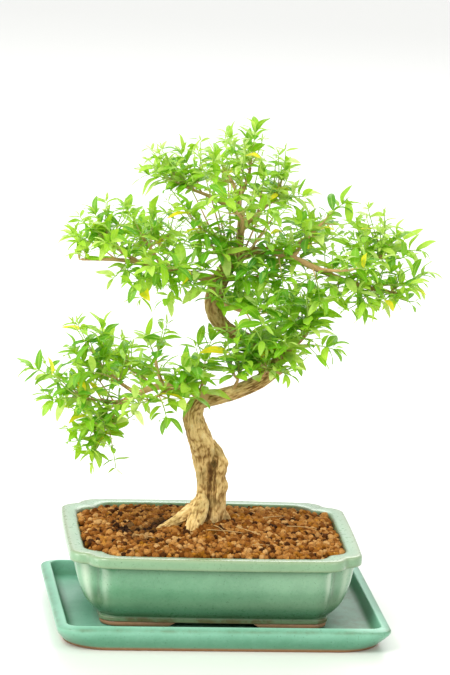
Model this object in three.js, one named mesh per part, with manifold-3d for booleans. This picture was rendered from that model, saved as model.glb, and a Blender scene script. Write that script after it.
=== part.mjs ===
// A serissa grown as a bonsai: an S-curved trunk with three tiers of leafy shoots, in a glazed
// pot with notched corners that stands on its drip tray.
// Millimetres, +Z up. The origin is on the table, 5 mm behind the middle of the tray's underside,
// and the front faces -Y.

import * as THREE from "three";
import { mergeVertices } from "three/addons/utils/BufferGeometryUtils.js";
import Module from "manifold-3d";

// Driving dimensions
const clearance = 0.3; // between pieces that rest in or on each other
const tray = { length: 238.5, depth: 201, height: 17.8, y: -5, floor: 7.5 };
const pot = { length: 211, depth: 185, height: 55.5, x: -3, y: 4, floor: 14 };
const potTurn = -1.3; // degrees that the pot stands askew in its tray
const potBow = { long: 4, short: 1.5 }; // how far its long and its short sides curve outward
const foot = { height: 3.4, corner: 12, gapWidth: 68, gapTop: 57, ring: 11 };
const drain = { radius: 7, sides: 12, spread: 46 };
const cornerSwell = { radius: 15.5, turn: 80 }; // the two rounds of a pot corner
const cornerGroove = { radius: 5, turn: 70 }; // the notch between them
const soilEdge = 60.6; // height of the soil along the pot's wall
const soilRise = 6.6; // how much higher it is at the middle
const grain = { pitch: 13.5, relief: 3.4, shift: 2 };
const sides = { lowerTrunk: 10, upperTrunk: 9, burl: 7, branch: 5, twig: 4, stem: 3 };
const leaf = { length: 16.5, width: 6, keel: 1.2, root: 0.3 };
const leafVaries = { size: [0.85, 1.15], droop: [0.3, 0.9], twist: [-26, 26], spin: [-25, 25] };
const tuft = { blades: 3, size: 0.9, setBack: 1 };
const stem = { base: 1, tip: 0.65, bow: 0.12 };
const longShoot = 24; // from this length up a shoot has two pairs of leaves and a side shoot
const sideShoot = [10, 16]; // its shortest and longest
// Bare stem below the first pair of leaves and above the last, in steps from pair to pair
const bareStem = { below: 0.8, above: 0.7 };
const drawsPerShoot = 100;

// How a blade or a side shoot leaves its stem: shares of the stem's own direction, of one square
// to it, and of straight up.
const pairLean = { ahead: 0.5, outward: 0.85, upward: 0.12 };
const tuftLean = { ahead: 0.8, outward: 0.6, upward: 0.05 };
const sideLean = { ahead: 0.6, outward: 0.75, upward: 0.2 };

// A blade seen from above, in shares of its length and width, where its keel is deepest, and the
// place past which it hangs below its root.
const bladeOutline = [[0, 0], [0.36, -0.5], [0.68, -0.42], [1, 0], [0.68, 0.42], [0.36, 0.5]];
const bladeKeel = 0.52;
const bladeArch = 0.8;

// Ridges of the trunk's bark: their height as a share of the radius, how many go round, and how
// far they wind from one point of the route to the next, in radians.
const barkRidges = [
  { height: 0.07, count: 3, wind: 0.5 },
  { height: 0.05, count: 5, wind: -0.8 },
];

// Room that a blade keeps to other shoots, and the turns about its shoot that it may take for it,
// in radians.
const guardRoom = { across: 1.2, below: 0.8, above: 0.4 };
const turnsTried = [0, 0.3, -0.3, 0.6, -0.6, 0.9, -0.9];

// Pot profile, outside from the foot up: how far in from the rim's outline, height above the
// foot, and how deep the corners are notched, from 0 for the foot's plain round to 1.
const potOutside = [
  [24, 0, 0],
  [23.4, foot.height, 0],
  [22.6, 4.2, 0],
  [22.6, 6.6, 0],
  [23.4, 7.6, 0.05],
  [17.6, 13.4, 0.25],
  [11.4, 21, 0.6],
  [7.2, 31, 0.85],
  [5, 41, 1],
  [4.2, 46.9, 1],
  [0.4, 47.5, 0.7],
  [0, 53.9, 0.7],
  [1.2, pot.height, 0.7],
  [10.4, 55.1, 0.7],
];

// The same, inside from the rim down to the floor.
const potInside = [
  [11.8, 53.5, 0.8],
  [14, 36, 0.8],
  [22, 18, 0.8],
  [32, pot.floor, 0.8],
];

// Tray profile, from the underside up the flared wall, over the rim and down to its floor: how far
// in from the outline, height, and the radius of the corners.
const trayProfile = [
  [6.2, 0, 32],
  [5.2, 2.6, 30],
  [1.4, 9, 22],
  [0, 13.5, 15],
  [0.6, 16, 13],
  [6.4, tray.height, 9],
  [7.4, 17.2, 9],
  [8.8, tray.floor + 2, 9],
  [12.5, tray.floor, 9],
];

// The lower trunk leans left, bends at the first branch and slants right to a pruned end.
// Every route is a list of points that hold x, y, z and the radius there.
const lowerTrunk = [
  [-6, 10, 46, 13],
  [-6, 11, 66, 11.5],
  [-5, 13, 80, 8.4],
  [-5, 14, 92, 7.4],
  [-6, 13, 104, 7.6],
  [-8, 11, 116, 8.5],
  [-11, 10, 128, 8.8],
  [-15, 9, 139, 8.3],
  [-17, 8, 148, 7.2],
  [-14, 7, 157, 6.2],
  [-3, 4.5, 163, 5.4],
  [12, 0, 171, 5],
  [28, -4, 180, 5],
  [37, -5, 185, 4.7],
  [45, -6, 187, 3.6],
];

// The upper trunk turns back over the pruned end and climbs to the crown.
const upperTrunk = [
  [38, -5, 186, 4.2],
  [41, -4, 194, 4.7],
  [34, -1, 200, 4.9],
  [24, 3, 203, 4.9],
  [12, 7, 207, 5.1],
  [1, 9, 214, 5.6],
  [-5, 10, 224, 6.4],
  [-5, 9, 236, 6.6],
  [0, 6, 251, 6],
  [8, 3, 266, 4.8],
  [11, 1, 284, 3],
  [9, 0, 302, 2.1],
  [10, 0, 322, 1.1],
];

// A second strand grown onto the right of the trunk, the roots, and a sawn-off limb.
const burls = [
  [
    [-5, 9, 127, 4.4],
    [1.5, 9, 117, 5.2],
    [3, 9, 106, 5.4],
    [3, 10, 92, 5.3],
    [3.5, 13, 76, 6],
    [4, 16, 60, 6],
  ],
  [[-8, 8, 86, 5], [-12, 0, 77, 6.2], [-16, -9, 70, 5.6], [-18, -15, 64, 4.6], [-19, -18, 57, 3.4]],
  [[-9, 8, 84, 5], [-19, 4, 75, 4.8], [-30, -2, 69.5, 3.9], [-41, -10, 65.5, 3.1], [-50, -18, 60, 2.2]],
  [[4, 14, 76, 5], [9, 19, 68, 4.6], [13, 24, 60, 3.6]],
  [[-4, 16, 84, 6], [-6, 30, 73, 5], [-8, 43, 63, 3.4]],
  [[3, 5, 257, 5], [11, -2, 264, 5.4], [16, -7, 270, 4.2]],
];

// Branches and twigs. A shoot leaves its route at a place between 0, the start, and 1, the end,
// and its stem ends at the point given by the next three numbers.
const limbs = [
  {
    pad: "low_left",
    route: [
      [-8, 6, 159, 4],
      [-22, -3, 169, 3.2],
      [-36, -8, 172, 2.7],
      [-50, -10, 171, 2.4],
      [-61, -10, 166, 2.1],
      [-72, -8, 160, 1.7],
      [-90, -4, 160, 1.3],
    ],
    shoots: [
      [1, -136, -4, 182],
      [0.94, -122, -16, 162],
      [0.88, -106, 12, 192],
      [0.76, -98, -28, 144],
      [0.2, -30, -26, 190],
    ],
  },
  {
    pad: "low_left",
    route: [[-67, -9, 163, 1.7], [-77, -15, 153, 1.3], [-83, -19, 144, 1]],
    shoots: [
      [1, -90, -18, 126],
    ],
  },
  {
    pad: "low_left",
    route: [[-60, -10, 166, 1.6], [-72, 0, 172, 1.3], [-84, 6, 182, 1]],
    shoots: [
      [1, -86, 6, 211],
      [0.55, -102, -22, 184],
    ],
  },
  {
    pad: "low_left",
    route: [[-49, -9, 171, 1.6], [-57, 12, 175, 1.3], [-66, 30, 180, 1]],
    shoots: [
      [1, -80, 50, 190],
    ],
  },
  {
    pad: "low_left",
    route: [[-36, -9, 172, 1.5], [-45, -26, 170, 1.2], [-55, -39, 168, 1]],
    shoots: [
      [1, -70, -58, 172],
      [0.6, -42, -44, 156],
    ],
  },
  {
    pad: "low_left",
    route: [[-42, -9, 172, 1.5], [-46, -4, 183, 1.2], [-48, 0, 192, 1]],
    shoots: [
      [1, -54, -4, 206],
    ],
  },
  {
    pad: "high_left",
    route: [
      [-3, 8, 246, 3.4],
      [-16, 4, 250, 2.9],
      [-28, 0, 253, 2.5],
      [-44, -6, 257, 2.1],
      [-62, -10, 262, 1.7],
      [-78, -10, 264, 1.4],
      [-105, -6, 263, 0.9],
    ],
    shoots: [
      [0.84, -110, -10, 281],
      [0.56, -66, -28, 250],
      [0.36, -42, -22, 238],
    ],
  },
  {
    pad: "high_left",
    route: [[-44, -6, 257, 1.6], [-52, 2, 268, 1.3], [-60, 8, 279, 1]],
    shoots: [
      [1, -70, 16, 296],
      [0.6, -54, -12, 298],
    ],
  },
  {
    pad: "high_left",
    route: [[-62, -10, 262, 1.5], [-76, -6, 270, 1.2], [-86, -2, 278, 1]],
    shoots: [
      [1, -94, 4, 294],
      [0.4, -88, -34, 280],
    ],
  },
  {
    pad: "high_left",
    route: [[-28, 0, 253, 1.6], [-36, 22, 262, 1.3], [-46, 40, 268, 1]],
    shoots: [
      [1, -60, 56, 276],
    ],
  },
  {
    pad: "high_left",
    route: [[-24, 1, 252, 1.6], [-34, -20, 260, 1.3], [-44, -36, 264, 1]],
    shoots: [
      [1, -58, -54, 268],
    ],
  },
  {
    pad: "right",
    route: [
      [8, 3, 266, 3.4],
      [27, -6, 272, 2.9],
      [47, -12, 268, 2.5],
      [67, -14, 260, 2.2],
      [88, -10, 251, 1.9],
      [108, -4, 245, 1.6],
      [127, 2, 240, 1.2],
    ],
    shoots: [
      [0.94, 144, 4, 254],
      [0.82, 132, -18, 250],
      [0.66, 98, -30, 240],
      [0.45, 66, -30, 240],
      [0.25, 40, -26, 247],
    ],
  },
  {
    pad: "right",
    route: [[47, -12, 268, 1.6], [58, -5, 281, 1.3], [70, 1, 292, 1]],
    shoots: [
      [1, 84, 4, 305],
      [0.5, 50, -14, 294],
    ],
  },
  {
    pad: "right",
    route: [[88, -10, 251, 1.6], [103, 1, 261, 1.3], [116, 6, 269, 1]],
    shoots: [
      [1, 140, 8, 271],
      [0.9, 124, -4, 284],
      [0.5, 98, 20, 284],
    ],
  },
  {
    pad: "right",
    route: [[38, -9, 270, 1.6], [52, 14, 272, 1.3], [64, 34, 275, 1]],
    shoots: [
      [1, 80, 52, 282],
    ],
  },
  {
    pad: "right",
    route: [[67, -14, 260, 1.5], [76, -31, 263, 1.2], [84, -44, 266, 1]],
    shoots: [
      [1, 96, -60, 270],
    ],
  },
  {
    pad: "crown",
    route: [[10, 1, 312, 1.4], [14, 0, 322, 1.2], [16, 0, 332, 0.9]],
    shoots: [
      [1, 18, 0, 357],
      [0.4, 2, 10, 350],
    ],
  },
  {
    pad: "crown",
    route: [[9, 0, 297, 1.8], [-8, -4, 308, 1.4], [-26, -5, 315, 1]],
    shoots: [
      [1, -58, -5, 325],
      [0.8, -34, 4, 339],
      [0.4, -12, -12, 338],
    ],
  },
  {
    pad: "crown",
    route: [[11, 1, 286, 1.7], [25, 4, 299, 1.3], [36, 6, 309, 1]],
    shoots: [
      [1, 42, 4, 329],
      [0.7, 54, -8, 312],
      [0.4, 24, -14, 330],
    ],
  },
  {
    pad: "crown",
    route: [[9, 0, 298, 1.6], [8, 21, 311, 1.3], [4, 35, 320, 1]],
    shoots: [
      [1, -4, 50, 330],
    ],
  },
  {
    pad: "crown",
    route: [[10, 1, 280, 1.7], [9, -22, 296, 1.3], [4, -36, 304, 1]],
    shoots: [
      [1, -8, -50, 318],
      [0.7, 26, -46, 306],
    ],
  },
  {
    pad: "crown",
    route: [[6, 3, 264, 1.6], [-8, -12, 282, 1.3], [-20, -20, 290, 1]],
    shoots: [
      [1, -30, -26, 304],
    ],
  },
  {
    pad: "middle",
    route: [[41, -4, 194, 1.8], [52, -12, 204, 1.4], [60, -16, 214, 1]],
    shoots: [
      [1, 70, -12, 226],
      [0.5, 78, -22, 204],
    ],
  },
  {
    pad: "middle",
    route: [[-4, 9, 233, 2.2], [10, -8, 229, 1.7], [22, -20, 228, 1.2]],
    shoots: [
      [1, 34, -36, 240],
      [0.7, 26, -30, 210],
    ],
  },
  {
    pad: "middle",
    route: [[0, 7, 248, 1.9], [18, 2, 250, 1.4], [32, -2, 254, 1]],
    shoots: [
      [1, 54, -6, 266],
      [0.5, 30, 16, 238],
    ],
  },
  {
    pad: "middle",
    route: [[34, -2, 199, 1.6], [44, 16, 206, 1.3], [50, 30, 214, 1]],
    shoots: [
      [1, 56, 46, 226],
    ],
  },
  {
    pad: "middle",
    route: [[-14, 7, 157, 1.8], [-13, 1, 170, 1.3], [-13, -5, 180, 1]],
    shoots: [
      [1, -8, -6, 206],
    ],
  },
  {
    pad: "middle",
    route: [[28, -4, 181, 1.7], [32, -16, 188, 1.3]],
    shoots: [
      [1, 44, -26, 186],
    ],
  },
  {
    pad: "middle",
    route: [[9, 0, 170, 1.6], [12, -10, 178, 1.2]],
    shoots: [
      [1, 14, -24, 194],
    ],
  },
];

const { degToRad, lerp } = THREE.MathUtils;
const wasm = await Module();
wasm.setup();

// A closed geometry as a solid that can be joined and cut.
function solidOf(geometry) {
  const plain = geometry.clone();
  plain.deleteAttribute("normal");
  plain.deleteAttribute("uv");
  const merged = mergeVertices(plain, 1e-4);
  return new wasm.Manifold(
    new wasm.Mesh({
      numProp: 3,
      vertProperties: merged.attributes.position.array,
      triVerts: new Uint32Array(merged.index.array),
    }),
  );
}

// A solid's surface as a geometry.
function geometryOf(solid) {
  const { vertProperties, triVerts } = solid.getMesh();
  const geometry = new THREE.BufferGeometry();
  geometry.setAttribute("position", new THREE.BufferAttribute(vertProperties, 3));
  geometry.setIndex(new THREE.BufferAttribute(triVerts, 1));
  return geometry;
}

const joined = (solids) => solids.reduce((whole, piece) => whole.add(piece));

// The body that is left of a solid once cut-off scraps are dropped.
const largest = (solid) => solid.decompose().reduce((a, b) => (b.volume() > a.volume() ? b : a));

function meshFrom(points, index) {
  const geometry = new THREE.BufferGeometry().setFromPoints(points);
  geometry.setIndex(index);
  return geometry;
}

// A closed skin over rings of equally many points. The first and the last are closed by a fan,
// round a point of their own where the ring has as many sides as the trunk.
function skin(rings) {
  const count = rings[0].length;
  const hasHub = count >= sides.upperTrunk;
  const points = rings.flat();
  const index = [];
  for (let a = 0; a < points.length - count; a++) {
    const b = (a + 1) % count ? a + 1 : a + 1 - count;
    index.push(a, b, b + count, a, b + count, a + count);
  }
  for (const [start, opens] of [[0, false], [points.length - count, true]]) {
    const middle = new THREE.Vector3();
    const ring = points.slice(start, start + count);
    ring.forEach((point) => middle.addScaledVector(point, 1 / count));
    const hub = hasHub ? points.push(middle) - 1 : start;
    const first = hasHub ? 0 : 1;
    for (let k = first; k < count - first; k++) {
      const here = start + k;
      const next = start + ((k + 1) % count);
      index.push(hub, ...(opens ? [here, next] : [next, here]));
    }
  }
  return meshFrom(points, index);
}

// A quarter turn made of arcs, each with a radius, a turn in degrees and a number of steps.
function quarterTurn(arcs) {
  const points = [[0, 0]];
  let [x, y] = points[0];
  let heading = 0;
  for (const [radius, turn, steps] of arcs) {
    for (let step = 0; step < steps; step++) {
      const next = heading + degToRad(turn) / steps;
      const bend = Math.sign(turn) * radius;
      x += bend * (Math.sin(next) - Math.sin(heading));
      y += bend * (Math.cos(heading) - Math.cos(next));
      heading = next;
      points.push([x, y]);
    }
  }
  return points;
}

// A level ring round a rectangle whose four corners all follow one quarter turn.
function cornered(halfLength, halfDepth, z, quarter, y = 0) {
  const size = quarter.at(-1)[0];
  const front = quarter.map(([along, out]) => [halfLength - size + along, out - halfDepth]);
  const side = quarter.map(([along, out]) => [halfLength - out, halfDepth - size + along]);
  const half = [...front, ...side];
  const whole = [...half, ...half.map(([u, v]) => [-u, -v])];
  return whole.map(([u, v]) => new THREE.Vector3(u, y + v, z));
}

const { radius: swellRadius, turn: swellTurn } = cornerSwell;
const notchedQuarter = quarterTurn([
  [swellRadius, swellTurn, 2],
  [cornerGroove.radius, -cornerGroove.turn, 2],
  [swellRadius, swellTurn, 2],
]);
const roundQuarter = quarterTurn([[foot.corner, 90, notchedQuarter.length - 1]]);
const potBottom = tray.floor + clearance;

// A ring with its sides bowed outward, turned on its own middle and set where the pot stands.
function potPlaced(ring) {
  const upright = new THREE.Vector3(0, 0, 1);
  return ring.map(({ x, y, z }) => {
    const narrowing = 1 - (2 * potBow.short / pot.length) * ((2 * y) / pot.depth) ** 2;
    const shallowing = 1 - (2 * potBow.long / pot.depth) * ((2 * x) / pot.length) ** 2;
    return new THREE.Vector3(x * narrowing, y * shallowing, z)
      .applyAxisAngle(upright, degToRad(potTurn))
      .add(new THREE.Vector3(pot.x, pot.y, potBottom));
  });
}

// One level of the pot, between the round and the notched corner.
function potRing([inset, height, notch], extra = 0) {
  const quarter = roundQuarter.map(([x, y], k) => [
    lerp(x, notchedQuarter[k][0], notch),
    lerp(y, notchedQuarter[k][1], notch),
  ]);
  const halfLength = pot.length / 2 - inset - extra;
  const halfDepth = pot.depth / 2 - inset - extra;
  return potPlaced(cornered(halfLength, halfDepth, height, quarter));
}

function makeTray() {
  return skin(
    trayProfile.map(([inset, z, radius]) => {
      const quarter = quarterTurn([[radius, 90, 3]]);
      return cornered(tray.length / 2 - inset, tray.depth / 2 - inset, z, quarter, tray.y);
    }),
  );
}

function makePot() {
  const body = solidOf(skin([...potOutside, ...potInside].map((level) => potRing(level))));
  // The hollow under the pot, inside its ring foot
  const hollowInset = potOutside[0][0] + foot.ring;
  const hollow = skin([
    potRing([hollowInset, -clearance, 0]),
    potRing([hollowInset, foot.height, 0]),
  ]);
  // The gap through the foot at the front and the back
  const gapShape = new THREE.Shape([
    new THREE.Vector2(-foot.gapWidth / 2, -clearance),
    new THREE.Vector2(foot.gapWidth / 2, -clearance),
    new THREE.Vector2(foot.gapTop / 2, foot.height),
    new THREE.Vector2(-foot.gapTop / 2, foot.height),
  ]);
  const gap = new THREE.ExtrudeGeometry(gapShape, { depth: pot.depth, bevelEnabled: false })
    .rotateX(Math.PI / 2)
    .translate(0, pot.depth / 2, 0)
    .rotateZ(degToRad(potTurn))
    .translate(pot.x, pot.y, potBottom);
  const drains = [-1, 1].map((side) =>
    new THREE.CylinderGeometry(drain.radius, drain.radius, 2 * pot.floor, drain.sides)
      .rotateX(Math.PI / 2)
      .translate(pot.x + side * drain.spread, pot.y, potBottom + pot.floor / 2),
  );
  return [hollow, gap, ...drains].reduce((whole, cut) => whole.subtract(solidOf(cut)), body);
}

// A supply of fractions between 0 and 1 that look random and are the same on every run.
function drawsFrom(seed) {
  const scatter = { step: 12.9898, height: 43758.5453 };
  let count = seed;
  return () => {
    count += 1;
    const wave = scatter.height * Math.sin(scatter.step * count);
    return wave - Math.floor(wave);
  };
}

// Height of the soil: a low mound that is roughened by grains, with a draw from 0 to 1 for each.
function soilHeight(x, y, bump) {
  const u = (x - pot.x) / (pot.length / 2);
  const v = (y - pot.y) / (pot.depth / 2);
  const mound = Math.max(0, 1 - u * u) * Math.max(0, 1 - v * v);
  return soilEdge + soilRise * mound + grain.relief * (bump - 0.5);
}

// The soil fills the pot up to a grainy mound, and has a hole where the wood stands in it.
function makeSoil(wood) {
  const columns = Math.round(pot.length / grain.pitch);
  const rows = Math.round(pot.depth / grain.pitch);
  const draw = drawsFrom(0);
  const points = [];
  const index = [];
  for (let row = 0; row <= rows; row++) {
    for (let column = 0; column <= columns; column++) {
      const x = pot.x + (column / columns - 0.5) * pot.length + grain.shift * (draw() - 0.5);
      const y = pot.y + (row / rows - 0.5) * pot.depth + grain.shift * (draw() - 0.5);
      points.push(new THREE.Vector3(x, y, soilHeight(x, y, draw())));
      if (row === rows || column === columns) continue;
      const here = points.length - 1;
      const above = here + columns + 1;
      if ((row + column) % 2) index.push(here, here + 1, above, here + 1, above + 1, above);
      else index.push(here, here + 1, above + 1, here, above + 1, above);
    }
  }
  // The block's sides, from the surface's rim down to one point far below the pot
  const depths = 10 * pot.height;
  const rim = [];
  const across = columns + 1;
  for (let k = 0; k < columns; k++) rim.push(k);
  for (let k = 0; k < rows; k++) rim.push(k * across + columns);
  for (let k = columns; k > 0; k--) rim.push(rows * across + k);
  for (let k = rows; k > 0; k--) rim.push(k * across);
  const floorPoint = points.push(new THREE.Vector3(pot.x, pot.y, -depths)) - 1;
  rim.forEach((here, k) => index.push(floorPoint, rim[(k + 1) % rim.length], here));
  const inside = [...potInside].reverse();
  inside[0] = [inside[0][0], inside[0][1] + clearance, inside[0][2]];
  inside.push([potInside[0][0], pot.height + soilRise, potInside[0][2]]);
  const filling = solidOf(skin(inside.map((level) => potRing(level, clearance))));
  return largest(filling.intersect(solidOf(meshFrom(points, index))).subtract(wood));
}

// A limb along a route, with lengthwise ridges; extra makes it thicker and longer all round.
function makeLimb(route, perSpan, around, extra = 0) {
  const spans = route.length - 1;
  const path = route.map(([x, y, z]) => new THREE.Vector3(x, y, z));
  const curve = new THREE.CatmullRomCurve3(path, false, "centripetal");
  const steps = perSpan * spans;
  const normal = new THREE.Vector3(0, 1, 0);
  if (Math.abs(curve.getTangent(0).y) > 0.7) normal.set(1, 0, 0);
  const rings = [];
  for (let step = 0; step <= steps; step++) {
    const place = (step / steps) * spans;
    const span = Math.min(Math.floor(place), spans - 1);
    const ahead = curve.getTangent(step / steps);
    normal.addScaledVector(ahead, -normal.dot(ahead)).normalize();
    const side = new THREE.Vector3().crossVectors(ahead, normal);
    const middle = curve.getPoint(step / steps);
    if (step === 0) middle.addScaledVector(ahead, -extra);
    if (step === steps) middle.addScaledVector(ahead, extra);
    const radius = lerp(route[span][3], route[span + 1][3], place - span);
    const ring = [];
    for (let k = 0; k < around; k++) {
      const angle = (2 * Math.PI * k) / around;
      const ridge = around >= sides.upperTrunk ? barkRidge(angle, place) : 0;
      const reach = radius * (1 + ridge) + extra;
      const point = middle.clone().addScaledVector(normal, reach * Math.cos(angle));
      ring.push(point.addScaledVector(side, reach * Math.sin(angle)));
    }
    rings.push(ring);
  }
  return solidOf(skin(rings));
}

// How far the bark stands out, as a share of the radius: ridges that wind slowly up the trunk.
function barkRidge(angle, place) {
  const waves = barkRidges.map(
    ({ height, count, wind }) => height * Math.sin(count * angle + wind * place),
  );
  return waves.reduce((sum, wave) => sum + wave);
}

// Trunk, roots, branches and twigs are one grown piece.
function makeWood(extra = 0) {
  const branches = limbs.filter(({ route }) => route.length > 3);
  const twigs = limbs.filter((limb) => !branches.includes(limb));
  return joined([
    makeLimb(lowerTrunk, 2, sides.lowerTrunk, extra),
    makeLimb(upperTrunk, 2, sides.upperTrunk, extra),
    ...burls.map((route) => makeLimb(route, 1, sides.burl, extra)),
    ...branches.map(({ route }) => makeLimb(route, 1, sides.branch, extra)),
    ...twigs.map(({ route }) => makeLimb(route, 1, sides.twig, extra)),
  ]);
}

// A pointed, arched blade with a keel below.
function makeBlade({ base, along, up, length, width, keel, droop }) {
  const side = new THREE.Vector3().crossVectors(up, along);
  const at = (share, across, depth) =>
    base
      .clone()
      .addScaledVector(along, share * length)
      .addScaledVector(side, across * width)
      .addScaledVector(up, droop * length * share * (bladeArch - share) - depth);
  const points = bladeOutline.map(([share, across]) => at(share, across, 0));
  const below = points.push(at(bladeKeel, 0, keel)) - 1;
  const top = [0, 1, 5, 1, 2, 5, 2, 4, 5, 2, 3, 4];
  const under = bladeOutline.flatMap((_, k) => [(k + 1) % below, k, below]);
  return meshFrom(points, [...top, ...under]);
}

// The point of a limb's route at a place between 0 and 1.
function pointOn(route, place) {
  const path = route.map(([x, y, z]) => new THREE.Vector3(x, y, z));
  return new THREE.CatmullRomCurve3(path, false, "centripetal").getPoint(place);
}

// A direction that leans out from ahead, on the side of it that the degrees give.
function leaning(ahead, degrees, lean) {
  const level = new THREE.Vector3(0, 0, 1).cross(ahead).normalize();
  if (!level.length()) level.set(1, 0, 0);
  const raised = new THREE.Vector3().crossVectors(ahead, level);
  const angle = degToRad(degrees);
  return new THREE.Vector3(0, 0, lean.upward)
    .addScaledVector(ahead, lean.ahead)
    .addScaledVector(level, lean.outward * Math.cos(angle))
    .addScaledVector(raised, lean.outward * Math.sin(angle))
    .normalize();
}

// A blade's growing rule: where it starts, which way it points and which way it faces.
function bladeAt(base, along, size, draw) {
  const up = new THREE.Vector3(0, 0, 1);
  up.addScaledVector(along, -up.dot(along)).normalize();
  up.applyAxisAngle(along, degToRad(lerp(...leafVaries.twist, draw())));
  return {
    base: base.clone().addScaledVector(along, leaf.root),
    along,
    up,
    length: leaf.length * size * lerp(...leafVaries.size, draw()),
    width: leaf.width * size * lerp(...leafVaries.size, draw()),
    keel: leaf.keel,
    droop: lerp(...leafVaries.droop, draw()),
  };
}

// Blades that stand round a stem at one point of it, evenly from the first one's turn on.
function whorl(count, root, ahead, turn, lean, size, draw) {
  const blades = [];
  for (let k = 0; k < count; k++) {
    const along = leaning(ahead, turn + (360 * k) / count, lean);
    blades.push(bladeAt(root, along, size, draw));
  }
  return blades;
}

// The stems and blades of one shoot: pairs of blades that turn by a quarter along the stem, a
// tuft at its tip, and on a long one a side shoot with a pair of its own.
function growShoot(from, to, seed) {
  const draw = drawsFrom(seed);
  const reach = from.distanceTo(to);
  const bow = new THREE.Vector3(draw() - 0.5, draw() - 0.5, 1);
  const middle = from.clone().lerp(to, 0.5).addScaledVector(bow, stem.bow * reach);
  const curve = new THREE.QuadraticBezierCurve3(from, middle, to);
  const pairs = reach > longShoot ? 2 : 1;
  const main = [from];
  const blades = [];
  for (let pair = 0; pair < pairs; pair++) {
    const share = (pair + bareStem.below) / (pairs - 1 + bareStem.below + bareStem.above);
    const joint = curve.getPoint(share);
    const turn = 90 * pair + lerp(...leafVaries.spin, draw());
    main.push(joint);
    blades.push(...whorl(2, joint, curve.getTangent(share), turn, pairLean, 1, draw));
  }
  main.push(to);
  const ahead = curve.getTangent(1);
  const top = to.clone().addScaledVector(ahead, -tuft.setBack);
  blades.push(...whorl(tuft.blades, top, ahead, 360 * draw(), tuftLean, tuft.size, draw));
  if (pairs === 1) return { stems: [main], blades };
  const sideways = leaning(curve.getTangent(0.5), 360 * draw(), sideLean);
  const sideReach = lerp(...sideShoot, draw());
  const sideEnd = main[1].clone().addScaledVector(sideways, sideReach);
  const sideTop = main[1].clone().addScaledVector(sideways, sideReach - tuft.setBack);
  blades.push(...whorl(2, sideTop, sideways, 360 * draw(), tuftLean, tuft.size, draw));
  return { stems: [main, [main[1], sideEnd]], blades };
}

// A thin green stem through a few points.
function makeStem(points, base) {
  const route = points.map((point, k) => {
    const share = k / (points.length - 1);
    return [...point.toArray(), lerp(base, stem.tip, share)];
  });
  return makeLimb(route, 1, sides.stem);
}

// A solid with its box and the shoot that it belongs to, for what has to keep clear of it.
function claimOf(solid, geometry, shoot) {
  geometry.computeBoundingBox();
  return { solid, box: geometry.boundingBox, shoot };
}

// A blade's guard is a little larger than the blade, so that what clears it has a gap.
function guardOf(blade) {
  return makeBlade({
    ...blade,
    base: blade.base.clone().addScaledVector(blade.up, guardRoom.above),
    width: blade.width + guardRoom.across,
    keel: blade.keel + guardRoom.below,
  });
}

function isClear(guard, claims) {
  const others = claims.filter(({ shoot }) => shoot !== guard.shoot);
  const near = others.filter(({ box }) => box.intersectsBox(guard.box));
  return near.every(({ solid }) => guard.solid.intersect(solid).isEmpty());
}

// The blades of a shoot that have room. A blade that would cross another shoot or the wood is
// turned about its shoot, and left out where no turn clears it.
function roomyBlades(shoot, claims, wood) {
  const axis = shoot.to.clone().sub(shoot.from).normalize();
  const kept = [];
  for (const blade of shoot.blades) {
    for (const turn of turnsTried) {
      const along = blade.along.clone().applyAxisAngle(axis, turn);
      const up = blade.up.clone().applyAxisAngle(axis, turn);
      const turned = { ...blade, along, up };
      const shape = guardOf(turned);
      const guard = claimOf(solidOf(shape), shape, shoot.name);
      if (!isClear(guard, claims) || !guard.solid.intersect(wood).isEmpty()) continue;
      claims.push(guard);
      kept.push(solidOf(makeBlade(turned)));
      break;
    }
  }
  return kept;
}

const finish = (color, roughness) =>
  new THREE.MeshStandardMaterial({ color, roughness, metalness: 0 });
const group = new THREE.Group();

function addPiece(name, geometry, material) {
  const mesh = new THREE.Mesh(geometry, material);
  mesh.name = name;
  group.add(mesh);
}

const wood = makeWood();
const grownWood = makeWood(clearance);
addPiece("tray", makeTray(), finish("#7fc7a4", 0.25));
addPiece("pot", geometryOf(makePot()), finish("#7caf8c", 0.28));
addPiece("soil", geometryOf(makeSoil(grownWood)), finish("#9a5a26", 0.95));
addPiece("trunk", geometryOf(wood), finish("#a5875a", 0.85));

// Every shoot's stems are set first, and then each shoot's blades take the room that is left.
const shoots = [];
const claims = [];
const padCounts = {};
for (const { pad, route, shoots: list } of limbs) {
  for (const [start, ...tip] of list) {
    padCounts[pad] = (padCounts[pad] ?? 0) + 1;
    const name = `shoot_${pad}_${String(padCounts[pad]).padStart(2, "0")}`;
    const from = pointOn(route, start);
    const to = new THREE.Vector3(...tip);
    const { stems, blades } = growShoot(from, to, drawsPerShoot * (shoots.length + 1));
    const stalk = joined(stems.map((points, k) => makeStem(points, k ? stem.tip : stem.base)));
    claims.push(claimOf(stalk, geometryOf(stalk), name));
    shoots.push({ name, from, to, stalk, blades });
  }
}
for (const shoot of shoots) {
  const whole = joined([shoot.stalk, ...roomyBlades(shoot, claims, wood)]);
  addPiece(shoot.name, geometryOf(largest(whole.subtract(grownWood))), finish("#6fae35", 0.5));
}

export default group;
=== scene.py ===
# Serissa bonsai in a glazed pot of clay grit, on its drip tray.
# Sizes in the dictionaries are millimetres. Meshes are in metres, +Z up, the front towards -Y.
import math

import bpy
import numpy as np
from mathutils import Matrix


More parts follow.
